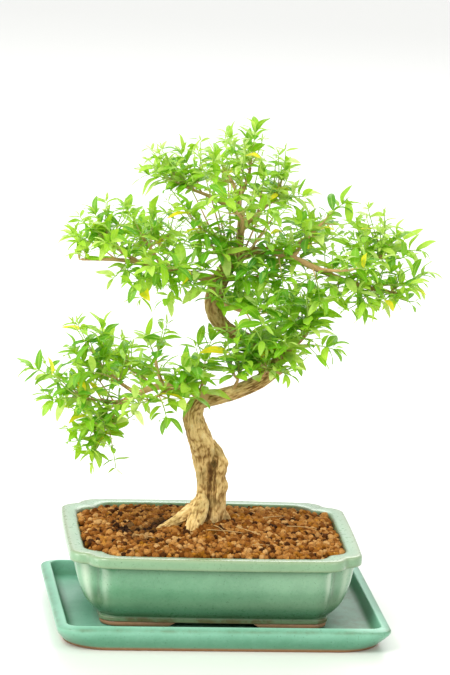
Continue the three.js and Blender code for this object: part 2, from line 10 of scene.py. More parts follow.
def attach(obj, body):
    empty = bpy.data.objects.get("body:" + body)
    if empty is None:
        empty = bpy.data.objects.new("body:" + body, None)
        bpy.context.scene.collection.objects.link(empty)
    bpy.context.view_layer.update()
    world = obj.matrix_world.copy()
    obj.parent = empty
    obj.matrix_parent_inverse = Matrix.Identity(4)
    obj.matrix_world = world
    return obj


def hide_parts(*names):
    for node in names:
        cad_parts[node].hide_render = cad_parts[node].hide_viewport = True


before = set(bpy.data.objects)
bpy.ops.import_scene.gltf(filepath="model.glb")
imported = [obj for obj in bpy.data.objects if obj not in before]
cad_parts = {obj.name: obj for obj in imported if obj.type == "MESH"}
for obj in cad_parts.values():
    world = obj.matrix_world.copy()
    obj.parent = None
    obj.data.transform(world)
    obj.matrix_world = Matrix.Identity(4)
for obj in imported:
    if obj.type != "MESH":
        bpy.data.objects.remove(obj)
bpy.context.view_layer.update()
print("frame loaded")


# Shared tools

# A supply of draws between 0 and 1: the broken part of 43758.5453 sin(12.9898 n), n counted up
# from the seed.
def drawsFrom(seed):
    count = seed

    def draw():
        nonlocal count
        count += 1
        wave = 43758.5453 * math.sin(12.9898 * count)
        return wave - math.floor(wave)

    return draw


# The number a share of the way from low to high.
def between(low, high, share):
    return low + (high - low) * share


# Each vector divided by its length.
def unit(vectors):
    return vectors / np.maximum(np.linalg.norm(vectors, axis=-1, keepdims=True), 1e-9)


# Smooth noise from -1 to 1: random values at the eight corners of a lattice cell, blended along
# each side by 3t^2 - 2t^3.
def softNoise(points, seed):
    cell = np.floor(points).astype(np.int64)
    part = points - cell
    part = part * part * (3 - 2 * part)
    total = np.zeros(points.shape[:-1])
    for corner in range(8):
        step = np.array([corner & 1, corner >> 1 & 1, corner >> 2 & 1])
        key = ((cell + step) * np.array([374761393, 668265263, 1440662683])).sum(-1)
        key = (key + seed * 1274126177) & 0xFFFFFFFF
        key = ((key ^ (key >> 13)) * 1103515245) & 0xFFFFFFFF
        value = ((key ^ (key >> 16)) & 65535) / 65535
        total += value * np.where(step == 1, part, 1 - part).prod(-1)
    return 2 * total - 1


# Noise in layers: each layer is twice as fine and half as strong as the one before.
def layeredNoise(points, layers, seed):
    strengths = 0.5 ** np.arange(layers)
    sums = [k * softNoise(points / k, seed + j) for j, k in enumerate(strengths)]
    return sum(sums) / strengths.sum()


# Faces of a grid of points: each joins four neighbours, and the last column meets the first
# where the grid wraps.
def gridFaces(rows, columns, wraps=True):
    row = np.arange(rows - 1)[:, None] * columns
    column = np.arange(columns if wraps else columns - 1)[None, :]
    a, b = row + column, row + (column + 1) % columns
    return np.stack([a, b, b + columns, a + columns], -1).reshape(-1, 4)


# A fan of three-cornered faces round a hub, over a ring of points.
def fanFaces(hub, ring, opens):
    nextOne = np.roll(ring, -1)
    pair = [ring, nextOne] if opens else [nextOne, ring]
    return np.stack([np.full(len(ring), hub), *pair], -1)


# A closed tube of rings: the grid's faces, and a fan over each end round the ring's mean point.
def closedTube(rings):
    rows, columns = rings.shape[:2]
    points = np.concatenate([rings.reshape(-1, 3), rings[[0, -1]].mean(1)])
    last = (rows - 1) * columns + np.arange(columns)
    fans = [
        fanFaces(rows * columns, np.arange(columns), False),
        fanFaces(rows * columns + 1, last, True),
    ]
    return points, [gridFaces(rows, columns), *fans]


# A tube round each point of a path: radius times the cosine and sine of evenly spread angles,
# along two directions square to the path.
def tubeRings(path, radii, around):
    ahead = unit(np.gradient(path, axis=0))
    spare = np.eye(3)[np.abs(ahead).mean(0).argmin()]
    normal = unit(spare - (ahead @ spare)[:, None] * ahead)
    sideways = np.cross(ahead, normal)
    angle = 2 * np.pi * np.arange(around) / around
    reach = np.asarray(radii)
    reach = reach[:, None] if reach.ndim == 1 else reach
    out = normal[:, None] * np.cos(angle)[:, None] + sideways[:, None] * np.sin(angle)[:, None]
    return path[:, None] + out * (reach * np.ones(around))[..., None]


# Several point-and-face sets as one: their faces count on from the points before them.
def merged(parts):
    starts = np.cumsum([0] + [len(points) for points, _ in parts[:-1]])
    faces = [f + start for (_, some), start in zip(parts, starts) for f in some]
    return np.concatenate([points for points, _ in parts]), faces


# A finished piece from points in millimetres, its faces, its materials and its numbers by point.
def makePiece(name, points, faces, materials, faceMaterial=None, numbers=None):
    mesh = bpy.data.meshes.new(name)
    corners = np.concatenate([some.ravel() for some in faces])
    sizes = np.concatenate([np.full(len(some), some.shape[1]) for some in faces])
    mesh.vertices.add(len(points))
    mesh.vertices.foreach_set("co", (points / 1000).astype(np.float32).ravel())
    mesh.loops.add(len(corners))
    mesh.loops.foreach_set("vertex_index", corners.astype(np.int32))
    mesh.polygons.add(len(sizes))
    mesh.polygons.foreach_set("loop_start", (np.cumsum(sizes) - sizes).astype(np.int32))
    for material in materials:
        mesh.materials.append(material)
    if faceMaterial is not None:
        mesh.polygons.foreach_set("material_index", faceMaterial.astype(np.int32))
    for key, values in (numbers or {}).items():
        kind, field = ("FLOAT", "value") if values.ndim == 1 else ("FLOAT_VECTOR", "vector")
        layer = mesh.attributes.new(key, kind, "POINT")
        layer.data.foreach_set(field, values.astype(np.float32).ravel())
    mesh.update(calc_edges=True)
    mesh.shade_smooth()
    piece = bpy.data.objects.new(name, mesh)
    bpy.context.scene.collection.objects.link(piece)
    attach(piece, "root")
    return piece


# Materials

# A colour as it looks on screen, from 0 to 255, made linear.
def paint(red, green, blue):
    screen = np.array([red, green, blue]) / 255
    linear = np.where(screen < 0.04045, screen / 12.92, ((screen + 0.055) / 1.055) ** 2.4)
    return (*linear.tolist(), 1.0)


# A node's inputs, each given as a value or as another node's socket.
def feed(tree, node, inputs):
    for key, value in inputs.items():
        if isinstance(value, bpy.types.NodeSocket):
            tree.links.new(value, node.inputs[key])
        else:
            node.inputs[key].default_value = value


# A new node with its settings and its inputs.
def addNode(tree, kind, inputs, **settings):
    made = tree.nodes.new("ShaderNode" + kind)
    for key, value in settings.items():
        setattr(made, key, value)
    feed(tree, made, inputs)
    return made


# A material with its tree, its shader and the socket of the piece's own coordinates, in metres.
def startMaterial(name):
    material = bpy.data.materials.new(name)
    material.use_nodes = True
    tree = material.node_tree
    shader = tree.nodes["Principled BSDF"]
    place = tree.nodes.new("ShaderNodeTexCoord").outputs["Object"]
    return material, tree, shader, place


# A noise pattern from 0 to 1, with a scale of so many waves a metre.
def noiseOf(tree, place, scale, detail=2.0, roughness=0.5):
    inputs = {"Vector": place, "Scale": scale, "Detail": detail, "Roughness": roughness}
    return addNode(tree, "TexNoise", inputs).outputs["Fac"]


# A number mapped smoothly from one range to another and held inside it.
def ranged(tree, value, start, end=(0.0, 1.0)):
    places = zip(("From Min", "From Max", "To Min", "To Max"), (*start, *end))
    inputs = {"Value": value, **dict(places)}
    return addNode(tree, "MapRange", inputs, interpolation_type="SMOOTHSTEP").outputs[0]


# The first colour where the share is 0 and the second where it is 1.
def mixed(tree, share, first, second):
    inputs = {0: share, 6: first, 7: second}
    return addNode(tree, "Mix", inputs, data_type="RGBA").outputs[2]


# A colour with tints laid over it in turn: the share of each is its pattern, mapped from one range
# to another.
def tinted(tree, colour, tints):
    for pattern, start, end, tint in tints:
        colour = mixed(tree, ranged(tree, pattern, start, end), colour, tint)
    return colour


# Arithmetic on one number or two.
def reckoned(tree, operation, first, second=0.0):
    return addNode(tree, "Math", {0: first, 1: second}, operation=operation).outputs[0]


# A colour band: its colours stand at their places from 0 to 1.
def ramp(tree, value, stops):
    node = addNode(tree, "ValToRGB", {0: value})
    band = node.color_ramp
    while len(band.elements) < len(stops):
        band.elements.new(0.5)
    for element, (spot, colour) in zip(band.elements, stops):
        element.position = spot
        element.color = colour
    return node.outputs[0]


# The numbers that a piece carries by point.
def attribute(tree, key, output="Fac"):
    return addNode(tree, "Attribute", {}, attribute_name=key).outputs[output]


# One coordinate of a socket that holds three: 0 for x, 1 for y, 2 for z.
def coordinate(tree, place, index):
    return addNode(tree, "SeparateXYZ", {"Vector": place}).outputs[index]


# A surface direction that makes a pattern look raised, by a distance in metres.
def bumped(tree, height, distance):
    inputs = {"Height": height, "Distance": distance, "Strength": 1.0}
    return addNode(tree, "Bump", inputs).outputs[0]


# Glaze over stoneware. The piece's own numbers say where the glaze is thin, where it pools, where the clay
# is bare, where it carries staining, with painted shade on the pot's inner wall, and where a painted
# highlight lies on the pot's corner swells.
def glazeMaterial(name, look):
    material, tree, shader, place = startMaterial(name)
    thin, pool, bare = (coordinate(tree, attribute(tree, "glaze", "Vector"), k) for k in range(3))
    stainAndShade = attribute(tree, "stainAndShade")
    cloud = noiseOf(tree, place, look["cloudScale"], 4.0, 0.6)
    fine = noiseOf(tree, place, look["fineScale"], 3.0, 0.65)
    patches = noiseOf(tree, place, look["stainScale"], 5.0, 0.65)
    stainedAndShaded = reckoned(tree, "MULTIPLY", stainAndShade, ranged(tree, patches, (0.42, 0.66), (0.4, 1.0)))
    specks = noiseOf(tree, place, look["speckScale"], 1.0)
    body = tinted(tree, look["body"], [
        (cloud, (0.32, 0.68), (0.0, 1.0), look["bodyDeep"]),
        (fine, (0.5, 0.75), (0.0, 0.35), look["bodyPale"]),
    ])
    body = mixed(tree, pool, body, look["pool"])
    body = mixed(tree, thin, body, look["thin"])
    # Painted highlight: the pale swell colour on the pot's corner swells, and painted light on the right
    # of its front.
    body = mixed(tree, attribute(tree, "swell"), body, look["swell"])
    # Staining, and painted shade on the pot's inner wall.
    body = mixed(tree, stainedAndShaded, body, look["stainedAndShaded"])
    body = tinted(tree, body, [(specks, (0.69, 0.75), (0.0, 0.6), look["speck"])])
    clay = mixed(tree, fine, look["clay"], look["clayDark"])
    rough = ranged(tree, fine, (0.3, 0.7), look["rough"])
    feed(tree, shader, {
        "Base Color": mixed(tree, bare, body, clay),
        "Roughness": reckoned(tree, "MAXIMUM", rough, bare),
        "Specular IOR Level": look["specular"],
        "Coat Weight": ranged(tree, stainAndShade, (0.0, 0.8), (look["coat"], 0.0)),
        "Coat Roughness": 0.2,
        "Normal": bumped(tree, fine, look["bump"] / 1000),
    })
    return material


# Pot and tray

# Pot: each profile row is how far in from the rim's outline, height above the foot, how deep the corner is
# notched, then how thin, pooled and bare the glaze is there, and how much staining it has, which on the
# inner wall below the rim is partly painted shade.
pot = {
    "length": 211, "depth": 185, "x": -3, "y": 4, "base": 7.8, "turn": -1.3, "bow": (4, 1.5),
    "swell": (15.5, 80), "groove": (5, 70), "arcSteps": (12, 8), "sideSteps": 9,
    "foot": {
        "height": 3.4, "inset": 24, "topInset": 23.4, "ring": 11, "corner": 12, "gap": 68,
        "gapTop": 57, "edge": 0.5, "draft": 0.1, "sunk": 0.2,
    },
    "profile": [
        (35, 3.3, 0, 0, 0, 1, 0),
        (25.6, 3.3, 0, 0, 0, 1, 0),
        (23.9, 3.4, 0, 0, 0.2, 1, 0),
        (22.9, 3.8, 0, 0, 0.2, 0.5, 1.3),
        (22.6, 4.5, 0, 0.2, 0.2, 0, 1.4),
        (22.6, 6.2, 0, 0.2, 0.3, 0, 1.3),
        (22.9, 6.9, 0, 0.1, 0.7, 0, 0.9),
        (23.2, 7.5, 0.05, 0, 1, 0, 0.3),
        (22.6, 8.4, 0.08, 0, 0.9, 0, 0),
        (19.8, 10.6, 0.14, 0, 0.5, 0, 0),
        (16.6, 13.6, 0.26, 0, 0.1, 0, 0),
        (13.4, 17.2, 0.43, 0.15, 0, 0, 0),
        (11.0, 21.2, 0.61, 0.15, 0, 0, 0),
        (9.0, 26.0, 0.74, 0, 0, 0, 0),
        (7.2, 31.0, 0.85, 0, 0, 0, 0),
        (6.0, 36.0, 0.93, 0, 0, 0, 0),
        (5.1, 41.0, 1, 0, 0, 0, 0),
        (4.5, 44.8, 1, 0, 0.15, 0, 0),
        (4.3, 46.6, 0.9, 0, 0.6, 0, 0),
        (3.2, 47.4, 0.75, 0, 0.8, 0, 0),
        (1.2, 47.3, 0.7, 0.1, 0.3, 0, 0),
        (0.3, 47.9, 0.7, 0.8, 0, 0, 0.3),
        (0.1, 49.5, 0.7, 0.4, 0, 0, 0),
        (0.0, 52.9, 0.7, 0.4, 0, 0, 0),
        (0.3, 54.5, 0.7, 0.7, 0, 0, 0),
        (1.4, 55.4, 0.7, 0.9, 0, 0, 0.3),
        (3.2, 55.5, 0.7, 0.6, 0, 0, 0),
        (8.8, 55.3, 0.7, 0.3, 0, 0, 0),
        (10.4, 54.8, 0.75, 0.5, 0, 0, 0.5),
        # The inner wall below the rim is darkened by staining: partly painted shade.
        (11.4, 53.5, 0.8, 0.2, 0.4, 0, 1.2),
        (12.0, 51.5, 0.8, 0, 0.6, 0, 2),
        (14.0, 36.0, 0.8, 0, 0.4, 0, 2),
        (22.0, 18.0, 0.8, 0, 0.4, 0, 2),
        (32.0, 14.0, 0.8, 0, 0.4, 0, 2),
    ],
}

# Tray: the profile goes from the underside up the wall, over the rim and down to the floor. Its
# third number makes the corner's radius, from the first one of "corners" to the second. Low down
# the stain changes along x, as "worn" says.
tray = {
    "length": 238.5, "depth": 201, "y": -5, "corners": (9, 32), "arcSteps": 12,
    "worn": ((-120, -40, 80), (0.0, 0.3, 1.2)), "wornBelow": 12,
    "profile": [
        (9.6, 0.0, 1, 0, 0, 1, 0),
        (6.8, 0.0, 1, 0, 0, 1, 0),
        (6.2, 0.3, 1, 0, 0, 1, 0),
        (5.5, 2.0, 0.94, 0, 0.2, 1, 0),
        (5.1, 2.9, 0.9, 0.1, 0.6, 0, 0.4),
        (4.0, 4.8, 0.78, 0, 0.55, 0, 0),
        (1.5, 9.0, 0.55, 0, 0.3, 0, 0),
        (0.2, 12.4, 0.34, 0.3, 0, 0, 0),
        (0.0, 14.4, 0.24, 0.5, 0, 0, 0.1),
        (0.5, 15.8, 0.18, 0.2, 0, 0, 0.8),
        (1.4, 16.4, 0.15, 0.2, 0, 0, 0.6),
        (4.4, 17.3, 0.05, 0.4, 0, 0, 0),
        (6.0, 17.8, 0, 0.9, 0, 0, 0),
        (6.9, 17.7, 0, 0.9, 0, 0, 0),
        (7.5, 16.9, 0, 0.4, 0, 0, 0),
        (8.4, 11.6, 0, 0.1, 0.3, 0, 0.2),
        (9.8, 8.9, 0, 0, 0.8, 0, 0.5),
        (12.0, 7.7, 0, 0, 0.6, 0, 0.6),
        (16.0, 7.5, 0, 0, 0.1, 0, 0.7),
    ],
}


# A quarter turn of arcs: along an arc of radius r the point moves by r (sin b - sin a) and
# r (cos a - cos b) as the heading goes from a to b.
def quarterTurn(arcs):
    spot, heading, points = np.zeros(2), 0.0, [np.zeros((1, 2))]
    for radius, turn, steps in arcs:
        headings = heading + math.radians(turn) * np.arange(1, steps + 1) / steps
        bend = math.copysign(radius, turn)
        across, out = np.sin(headings) - math.sin(heading), math.cos(heading) - np.cos(headings)
        points.append(spot + bend * np.stack([across, out], -1))
        spot, heading = points[-1][-1], headings[-1]
    return np.concatenate(points)


# A profile with its corners rounded: each is cut at a quarter of both its sides, a few times.
def rounded(profile, times):
    rows = np.array(profile, float)
    for _ in range(times):
        cuts = np.stack([0.75 * rows[:-1] + 0.25 * rows[1:], 0.25 * rows[:-1] + 0.75 * rows[1:]], 1)
        rows = np.concatenate([rows[:1], cuts.reshape(-1, rows.shape[1]), rows[-1:]])
    return rows


# Level rings round a rectangle: for each profile row the quarter turn lies between the plain and
# the notched one, and is set at the four corners of the rectangle less the row's inset. Even
# steps along the straight sides join them.
def vesselRings(rows, length, depth, plain, notched, sideSteps=0):
    inset, height, notch = rows[:, 0, None], rows[:, 1, None], rows[:, 2, None, None]
    quarter = plain + (notched - plain) * notch
    along, out = quarter[..., 0], quarter[..., 1]
    size = quarter[:, -1:, 0]
    halfLength, halfDepth = length / 2 - inset, depth / 2 - inset
    front = np.stack([halfLength - size + along, out - halfDepth], -1)
    side = np.stack([halfLength - out, halfDepth - size + along], -1)
    share = (np.arange(1, sideSteps + 1) / (sideSteps + 1))[:, None]
    up = front[:, -1:] + (side[:, :1] - front[:, -1:]) * share
    back = side[:, -1:] + (-front[:, :1] - side[:, -1:]) * share
    half = np.concatenate([front, up, side, back], 1)
    level = np.concatenate([half, -half], 1)
    return np.concatenate([level, np.broadcast_to(height[..., None], (*level.shape[:2], 1))], -1)


# Where the pot's points stand: its sides bow outward by parabolas, and it is turned and set down.
def standing(points):
    x, y, z = np.moveaxis(points, -1, 0)
    length, depth = pot["length"], pot["depth"]
    longBow, shortBow = pot["bow"]
    u = x * (1 - 2 * shortBow / length * (2 * y / depth) ** 2)
    v = y * (1 - 2 * longBow / depth * (2 * x / length) ** 2)
    angle = math.radians(pot["turn"])
    x = u * math.cos(angle) - v * math.sin(angle) + pot["x"]
    y = u * math.sin(angle) + v * math.cos(angle) + pot["y"]
    return np.stack([x, y, z + pot["base"]], -1)


# Where a corner's glaze differs, on a quarter turn that runs from -1 to 1 round the notch: the groove
# pools, the swell beside it carries a painted highlight, by corner and side of the notch, and the whole
# corner is darker low down, as painted shade. Heights are those between which an effect comes and goes.
# The long front carries painted light, lighter towards the right from one x to another.
cornerGlaze = {
    "grooveWidth": 0.16, "grooveShare": 0.7, "highlightPlace": 0.5, "highlightWidth": 0.13,
    "highlightShares": [(0.6, 0.6), (0.6, 0.6), (0.6, 0.6), (0.75, 0.32)],
    "highlightHeights": (10, 24, 44, 47), "lowShadeWidth": 0.85, "lowShadeShare": 0.9, "lowShadeHeights": (9, 12, 22, 32),
    "rightLightAcross": (-30, 105), "rightLightShare": 0.2, "rightLightHeights": (18, 28, 52, 56),
}


# A share that rises from 0 to 1, stays and falls again over four heights.
def within(height, heights):
    return np.interp(height, heights, (0, 1, 1, 0))


# The piece's own glaze numbers: those of the profile, with the corner's own pooled glaze where it is
# notched and painted shade low on the corner. The staining, partly painted shade, and the painted
# highlight on the swells, are numbers by themselves.
def glazeNumbers(rows, quarterCount, sideSteps, isNotched):
    look = cornerGlaze
    quarter = np.append(np.linspace(-1, 1, quarterCount), np.ones(sideSteps))
    spot = np.tile(quarter, 4)[None, :]
    height, notch = rows[:, 1, None], rows[:, 2, None] * isNotched
    groove = np.exp(-((spot / look["grooveWidth"]) ** 2)) * notch
    corner = np.repeat(np.arange(4), len(quarter))
    # The painted highlight on each swell, by corner and side of the notch.
    swell = np.array(look["highlightShares"])[corner, (spot[0] > 0).astype(int)]
    swell = swell * np.exp(-(((np.abs(spot) - look["highlightPlace"]) / look["highlightWidth"]) ** 2))
    swell = swell * notch * within(height, look["highlightHeights"])
    # Painted shade: the whole corner is darkened low on the body with the pool colour.
    low = np.exp(-((spot / look["lowShadeWidth"]) ** 4)) * within(height, look["lowShadeHeights"]) * isNotched
    pool = rows[:, 4, None] + look["grooveShare"] * groove + look["lowShadeShare"] * low
    thin, bare, stainAndShade = (rows[:, k, None] + 0 * spot for k in (3, 5, 6))
    numbers = np.stack([thin, np.clip(pool, 0, 1), bare, stainAndShade, swell], -1)
    numbers = np.concatenate([numbers.reshape(-1, 5), numbers[[0, -1]].mean(1)])
    return {"glaze": numbers[:, :3], "stainAndShade": numbers[:, 3], "swell": numbers[:, 4]}


# Half of the ring foot: a bar along the foot's outline from one gap to the other, whose section
# has its outer side, underside, inner side and top.
def footBar(side):
    foot = pot["foot"]
    outer, inner, edge = foot["inset"], foot["inset"] + foot["ring"], foot["edge"]
    top = foot["height"] + foot["sunk"]
    levels = [
        (foot["topInset"], top), (outer - foot["draft"], edge), (outer + edge, 0),
        (inner - edge, 0), (inner, edge), (inner, top),
    ]
    bar = []
    for inset, height in levels:
        row = np.array([[inset, height, 0]], float)
        ring = vesselRings(row, pot["length"], pot["depth"], plainQuarter, notchedQuarter)[0]
        half = ring[: 2 * len(plainQuarter)]
        ends = half[[0, -1]].copy()
        ends[:, 0] = between(foot["gap"], foot["gapTop"], height / foot["height"]) / 2
        bar.append(np.concatenate([ends[:1], half, ends[1:]]))
    rings = np.stack(bar, 1)
    rings[..., :2] *= side
    return closedTube(standing(rings))


swellRadius, swellTurn = pot["swell"]
grooveRadius, grooveTurn = pot["groove"]
swellSteps, grooveSteps = pot["arcSteps"]
notchedQuarter = quarterTurn([
    (swellRadius, swellTurn, swellSteps),
    (grooveRadius, -grooveTurn, grooveSteps),
    (swellRadius, swellTurn, swellSteps),
])
plainQuarter = quarterTurn([(pot["foot"]["corner"], 90, len(notchedQuarter) - 1)])

glazeLook = {
    "body": paint(114, 162, 126), "bodyDeep": paint(98, 147, 112), "bodyPale": paint(132, 172, 136),
    # The colour for staining also serves as painted shade on the pot's inner wall.
    "pool": paint(66, 104, 72), "thin": paint(138, 154, 118), "stainedAndShaded": paint(90, 88, 56),
    # The swell colour is a painted highlight.
    "swell": paint(206, 220, 196), "speck": paint(54, 76, 52), "clay": paint(158, 118, 84),
    "clayDark": paint(118, 84, 58),
    "cloudScale": 28, "fineScale": 320, "stainScale": 60, "speckScale": 900,
    "rough": (0.26, 0.36), "specular": 0.4, "coat": 0.4, "bump": 0.008,
}
trayLook = {
    **glazeLook,
    "body": paint(120, 176, 150), "bodyDeep": paint(100, 158, 130), "bodyPale": paint(140, 188, 164),
    "pool": paint(72, 124, 92), "thin": paint(134, 184, 158), "stainedAndShaded": paint(88, 108, 78),
    "specular": 0.22, "coat": 0.0, "rough": (0.28, 0.34),
}

rows = rounded(pot["profile"], 2)
rings = vesselRings(rows, pot["length"], pot["depth"], plainQuarter, notchedQuarter, pot["sideSteps"])
numbers = glazeNumbers(rows, len(notchedQuarter), pot["sideSteps"], 1)
points, faces = merged([closedTube(standing(rings)), *(footBar(side) for side in (1, -1))])
footCount = len(points) - len(numbers["stainAndShade"])
# Painted light: the front grows lighter towards the right, laid in with the swell's painted highlight.
paintedRightLight = np.interp(points[:, 0], cornerGlaze["rightLightAcross"], (0, cornerGlaze["rightLightShare"]))
paintedRightLight = (paintedRightLight * within(points[:, 2], cornerGlaze["rightLightHeights"]))[:-footCount]
numbers = {
    "glaze": np.concatenate([numbers["glaze"], np.tile([0.0, 0.0, 1.0], (footCount, 1))]),
    "stainAndShade": np.append(numbers["stainAndShade"], np.zeros(footCount)),
    "swell": np.append(np.maximum(numbers["swell"], paintedRightLight), np.zeros(footCount)),
}
potGlaze = glazeMaterial("potGlaze", glazeLook)
potPiece = makePiece("glazedPot", points, faces, [potGlaze], numbers=numbers)
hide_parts("pot")
print("pot made")

rows = rounded(tray["profile"], 2)
tight, wide = (quarterTurn([(radius, 90, tray["arcSteps"])]) for radius in tray["corners"])
rings = vesselRings(rows, tray["length"], tray["depth"], tight, wide)
points, faces = closedTube(rings + np.array([0, tray["y"], 0]))
numbers = glazeNumbers(rows, len(tight), 0, 0)
worn = np.interp(points[:, 0], *tray["worn"])
numbers["stainAndShade"] = numbers["stainAndShade"] * np.where(points[:, 2] < tray["wornBelow"], worn, 1)
trayGlaze = glazeMaterial("trayGlaze", trayLook)
trayPiece = makePiece("glazedTray", points, faces, [trayGlaze], numbers=numbers)
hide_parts("tray")
print("tray made")


# Clay grit

grit = {
    "edge": 60.6, "rise": 6.6, "backDrop": 2.6, "backFade": (0.3, 0.8), "sideDrop": 1.8,
    "sideFade": (0.5, 0.9), "wall": 12.4, "wallRoom": 1, "seed": 5, "spacing": 4.4,
    "rowSpacing": 0.87, "shift": 1.1, "lift": (-0.9, 1.3), "sink": 1.7, "size": (3.3, 7.4),
    "sizeSpread": (1.6, 2.6), "lumps": (-0.22, 0.16), "stretch": (0.78, 1.12),
    "shadowReach": 1.6, "shadowRagged": 0.9,
    # Painted shadow on the grit under the low left branch: x, y, reach along x and y, and strength.
    "shadowSpots": [
        (-67, -9, 9, 10, 1), (-54, -14, 13, 12, 1), (-36, 4, 17, 14, 0.95), (-60, -32, 14, 8, 0.5),
    ],
}


# Height of the soil: its edge, and a mound (1 - u^2)(1 - v^2) over the pot's inside, lower along
# the back and on the right.
def soilHeight(x, y):
    u = (x - pot["x"]) / (pot["length"] / 2)
    v = (y - pot["y"]) / (pot["depth"] / 2)
    mound = np.maximum(0, 1 - u * u) * np.maximum(0, 1 - v * v)
    backDrop = np.interp(v, grit["backFade"], (0, grit["backDrop"]))
    sideDrop = np.interp(u, grit["sideFade"], (0, grit["sideDrop"]))
    return grit["edge"] + grit["rise"] * mound - np.maximum(backDrop, sideDrop)


# Points of one grain before its own shape: a cube of 2 x 2 squares a side, pushed out to a ball.
def ballPoints():
    steps = np.array([-1.0, 0.0, 1.0])
    cube = np.stack(np.meshgrid(steps, steps, steps, indexing="ij"), -1).reshape(-1, 3)
    shell = cube[np.abs(cube).max(1) == 1]
    index = {tuple(p): k for k, p in enumerate(shell)}
    faces = []
    for axis in range(3):
        u, v = (axis + 1) % 3, (axis + 2) % 3
        for sign in (-1, 1):
            for a in (-1, 0):
                for b in (-1, 0):
                    square = [(a, b), (a + 1, b), (a + 1, b + 1), (a, b + 1)][::sign]
                    face = []
                    for p, q in square:
                        corner = [0.0, 0.0, 0.0]
                        corner[axis], corner[u], corner[v] = float(sign), float(p), float(q)
                        face.append(index[tuple(corner)])
                    faces.append(face)
    return unit(shell), np.array(faces)


# Random turns: unit quaternions made into rotation tables.
def randomTurns(rng, count):
    w, x, y, z = unit(rng.normal(size=(count, 4))).T
    return np.stack([
        1 - 2 * (y * y + z * z), 2 * (x * y - w * z), 2 * (x * z + w * y),
        2 * (x * y + w * z), 1 - 2 * (x * x + z * z), 2 * (y * z - w * x),
        2 * (x * z - w * y), 2 * (y * z + w * x), 1 - 2 * (x * x + y * y),
    ], -1).reshape(-1, 3, 3)


# The soil's outline, in the pot's own rectangle: the vessel's ring at an inset.
def soilOutline(inset):
    row = np.array([[inset, 0, 0.8]])
    sides = pot["length"], pot["depth"]
    return vesselRings(row, *sides, plainQuarter, notchedQuarter, pot["sideSteps"])[0, :, :2]


# True where the ray from a spot towards +X crosses the outline an odd number of times.
def insideWall(x, y):
    outline = soilOutline(grit["wall"] + grit["wallRoom"])
    (ax, ay), (bx, by) = outline.T, np.roll(outline, -1, 0).T
    x, y = x[:, None], y[:, None]
    crosses = (ay > y) != (by > y)
    spot = ax + (y - ay) / np.where(by == ay, 1, by - ay) * (bx - ax)
    return (crosses & (x < spot)).sum(1) % 2 == 1


# Grains: balls with each point pushed in or out, stretched, turned and set on the mound, in two
# layers of a jittered grid.
def makeGrains():
    rng = np.random.default_rng(grit["seed"])
    pitch = grit["spacing"]
    across = np.arange(-pot["length"] / 2, pot["length"] / 2, pitch)
    deep = np.arange(-pot["depth"] / 2, pot["depth"] / 2, pitch * grit["rowSpacing"])
    layers = []
    for layer in range(2):
        x, y = np.meshgrid(across, deep)
        x = x + pitch / 2 * ((np.arange(len(deep)) + layer) % 2)[:, None]
        y = y + layer * pitch / 3
        shift = grit["shift"]
        x, y = (part.ravel() + rng.uniform(-shift, shift, part.size) for part in (x, y))
        keep = insideWall(x, y)
        x, y, _ = standing(np.stack([x, y, 0 * x], -1)[keep]).T
        z = soilHeight(x, y) - layer * grit["sink"] + rng.uniform(*grit["lift"], x.size)
        layers.append(np.stack([x, y, z], -1))
    centres = np.concatenate(layers)
    count = len(centres)
    ball, ballFaces = ballPoints()
    lumps = ball * (1 + rng.uniform(*grit["lumps"], (count, len(ball), 1)))
    size = between(*grit["size"], rng.beta(*grit["sizeSpread"], (count, 1, 1)))
    lumps = lumps * size / 2 * rng.uniform(*grit["stretch"], (count, 1, 3))
    lumps = np.einsum("nij,nkj->nki", randomTurns(rng, count), lumps)
    points = (lumps + centres[:, None, :]).reshape(-1, 3)
    faces = (ballFaces[None] + len(ball) * np.arange(count)[:, None, None]).reshape(-1, 4)
    tone = np.repeat(rng.random(count), len(ball))
    # Painted shadow: grains in ragged patches under the low left branch are darkened.
    branchShadow = np.zeros(count)
    for x, y, long, deep, much in grit["shadowSpots"]:
        away = ((centres[:, 0] - x) / long) ** 2 + ((centres[:, 1] - y) / deep) ** 2
        ragged = grit["shadowReach"] - rng.uniform(0, grit["shadowRagged"], count)
        branchShadow = np.maximum(branchShadow, much * np.clip(ragged - away, 0, 1))
    print(count, "grains")
    return points, [faces], tone, np.repeat(branchShadow, len(ball))


# The bed under the grains, near black: painted shade in the gaps between them.
bed = {"rings": 36, "hub": 0.03, "clear": 0.4, "drop": 2.6, "bump": 0.8, "bumpSize": 3.0, "depth": 6}


# Rings of the pot's inside, each a share of the outline, drawn in to the middle. They lie below
# the mound by the drop less the noise, and the bed's underside is its outer ring set deeper.
def makeBed():
    share = np.linspace(1, bed["hub"], bed["rings"])[:, None, None]
    level = soilOutline(grit["wall"] - bed["clear"])[None] * share
    x, y, _ = np.moveaxis(standing(np.concatenate([level, 0 * level[..., :1]], -1)), -1, 0)
    bumps = softNoise(np.stack([x, y, 0 * x], -1) / bed["bumpSize"], 3)
    top = np.stack([x, y, soilHeight(x, y) - bed["drop"] + bed["bump"] * bumps], -1)
    under = top[:1].copy()
    under[..., 2] -= bed["depth"]
    return closedTube(np.concatenate([under, top]))


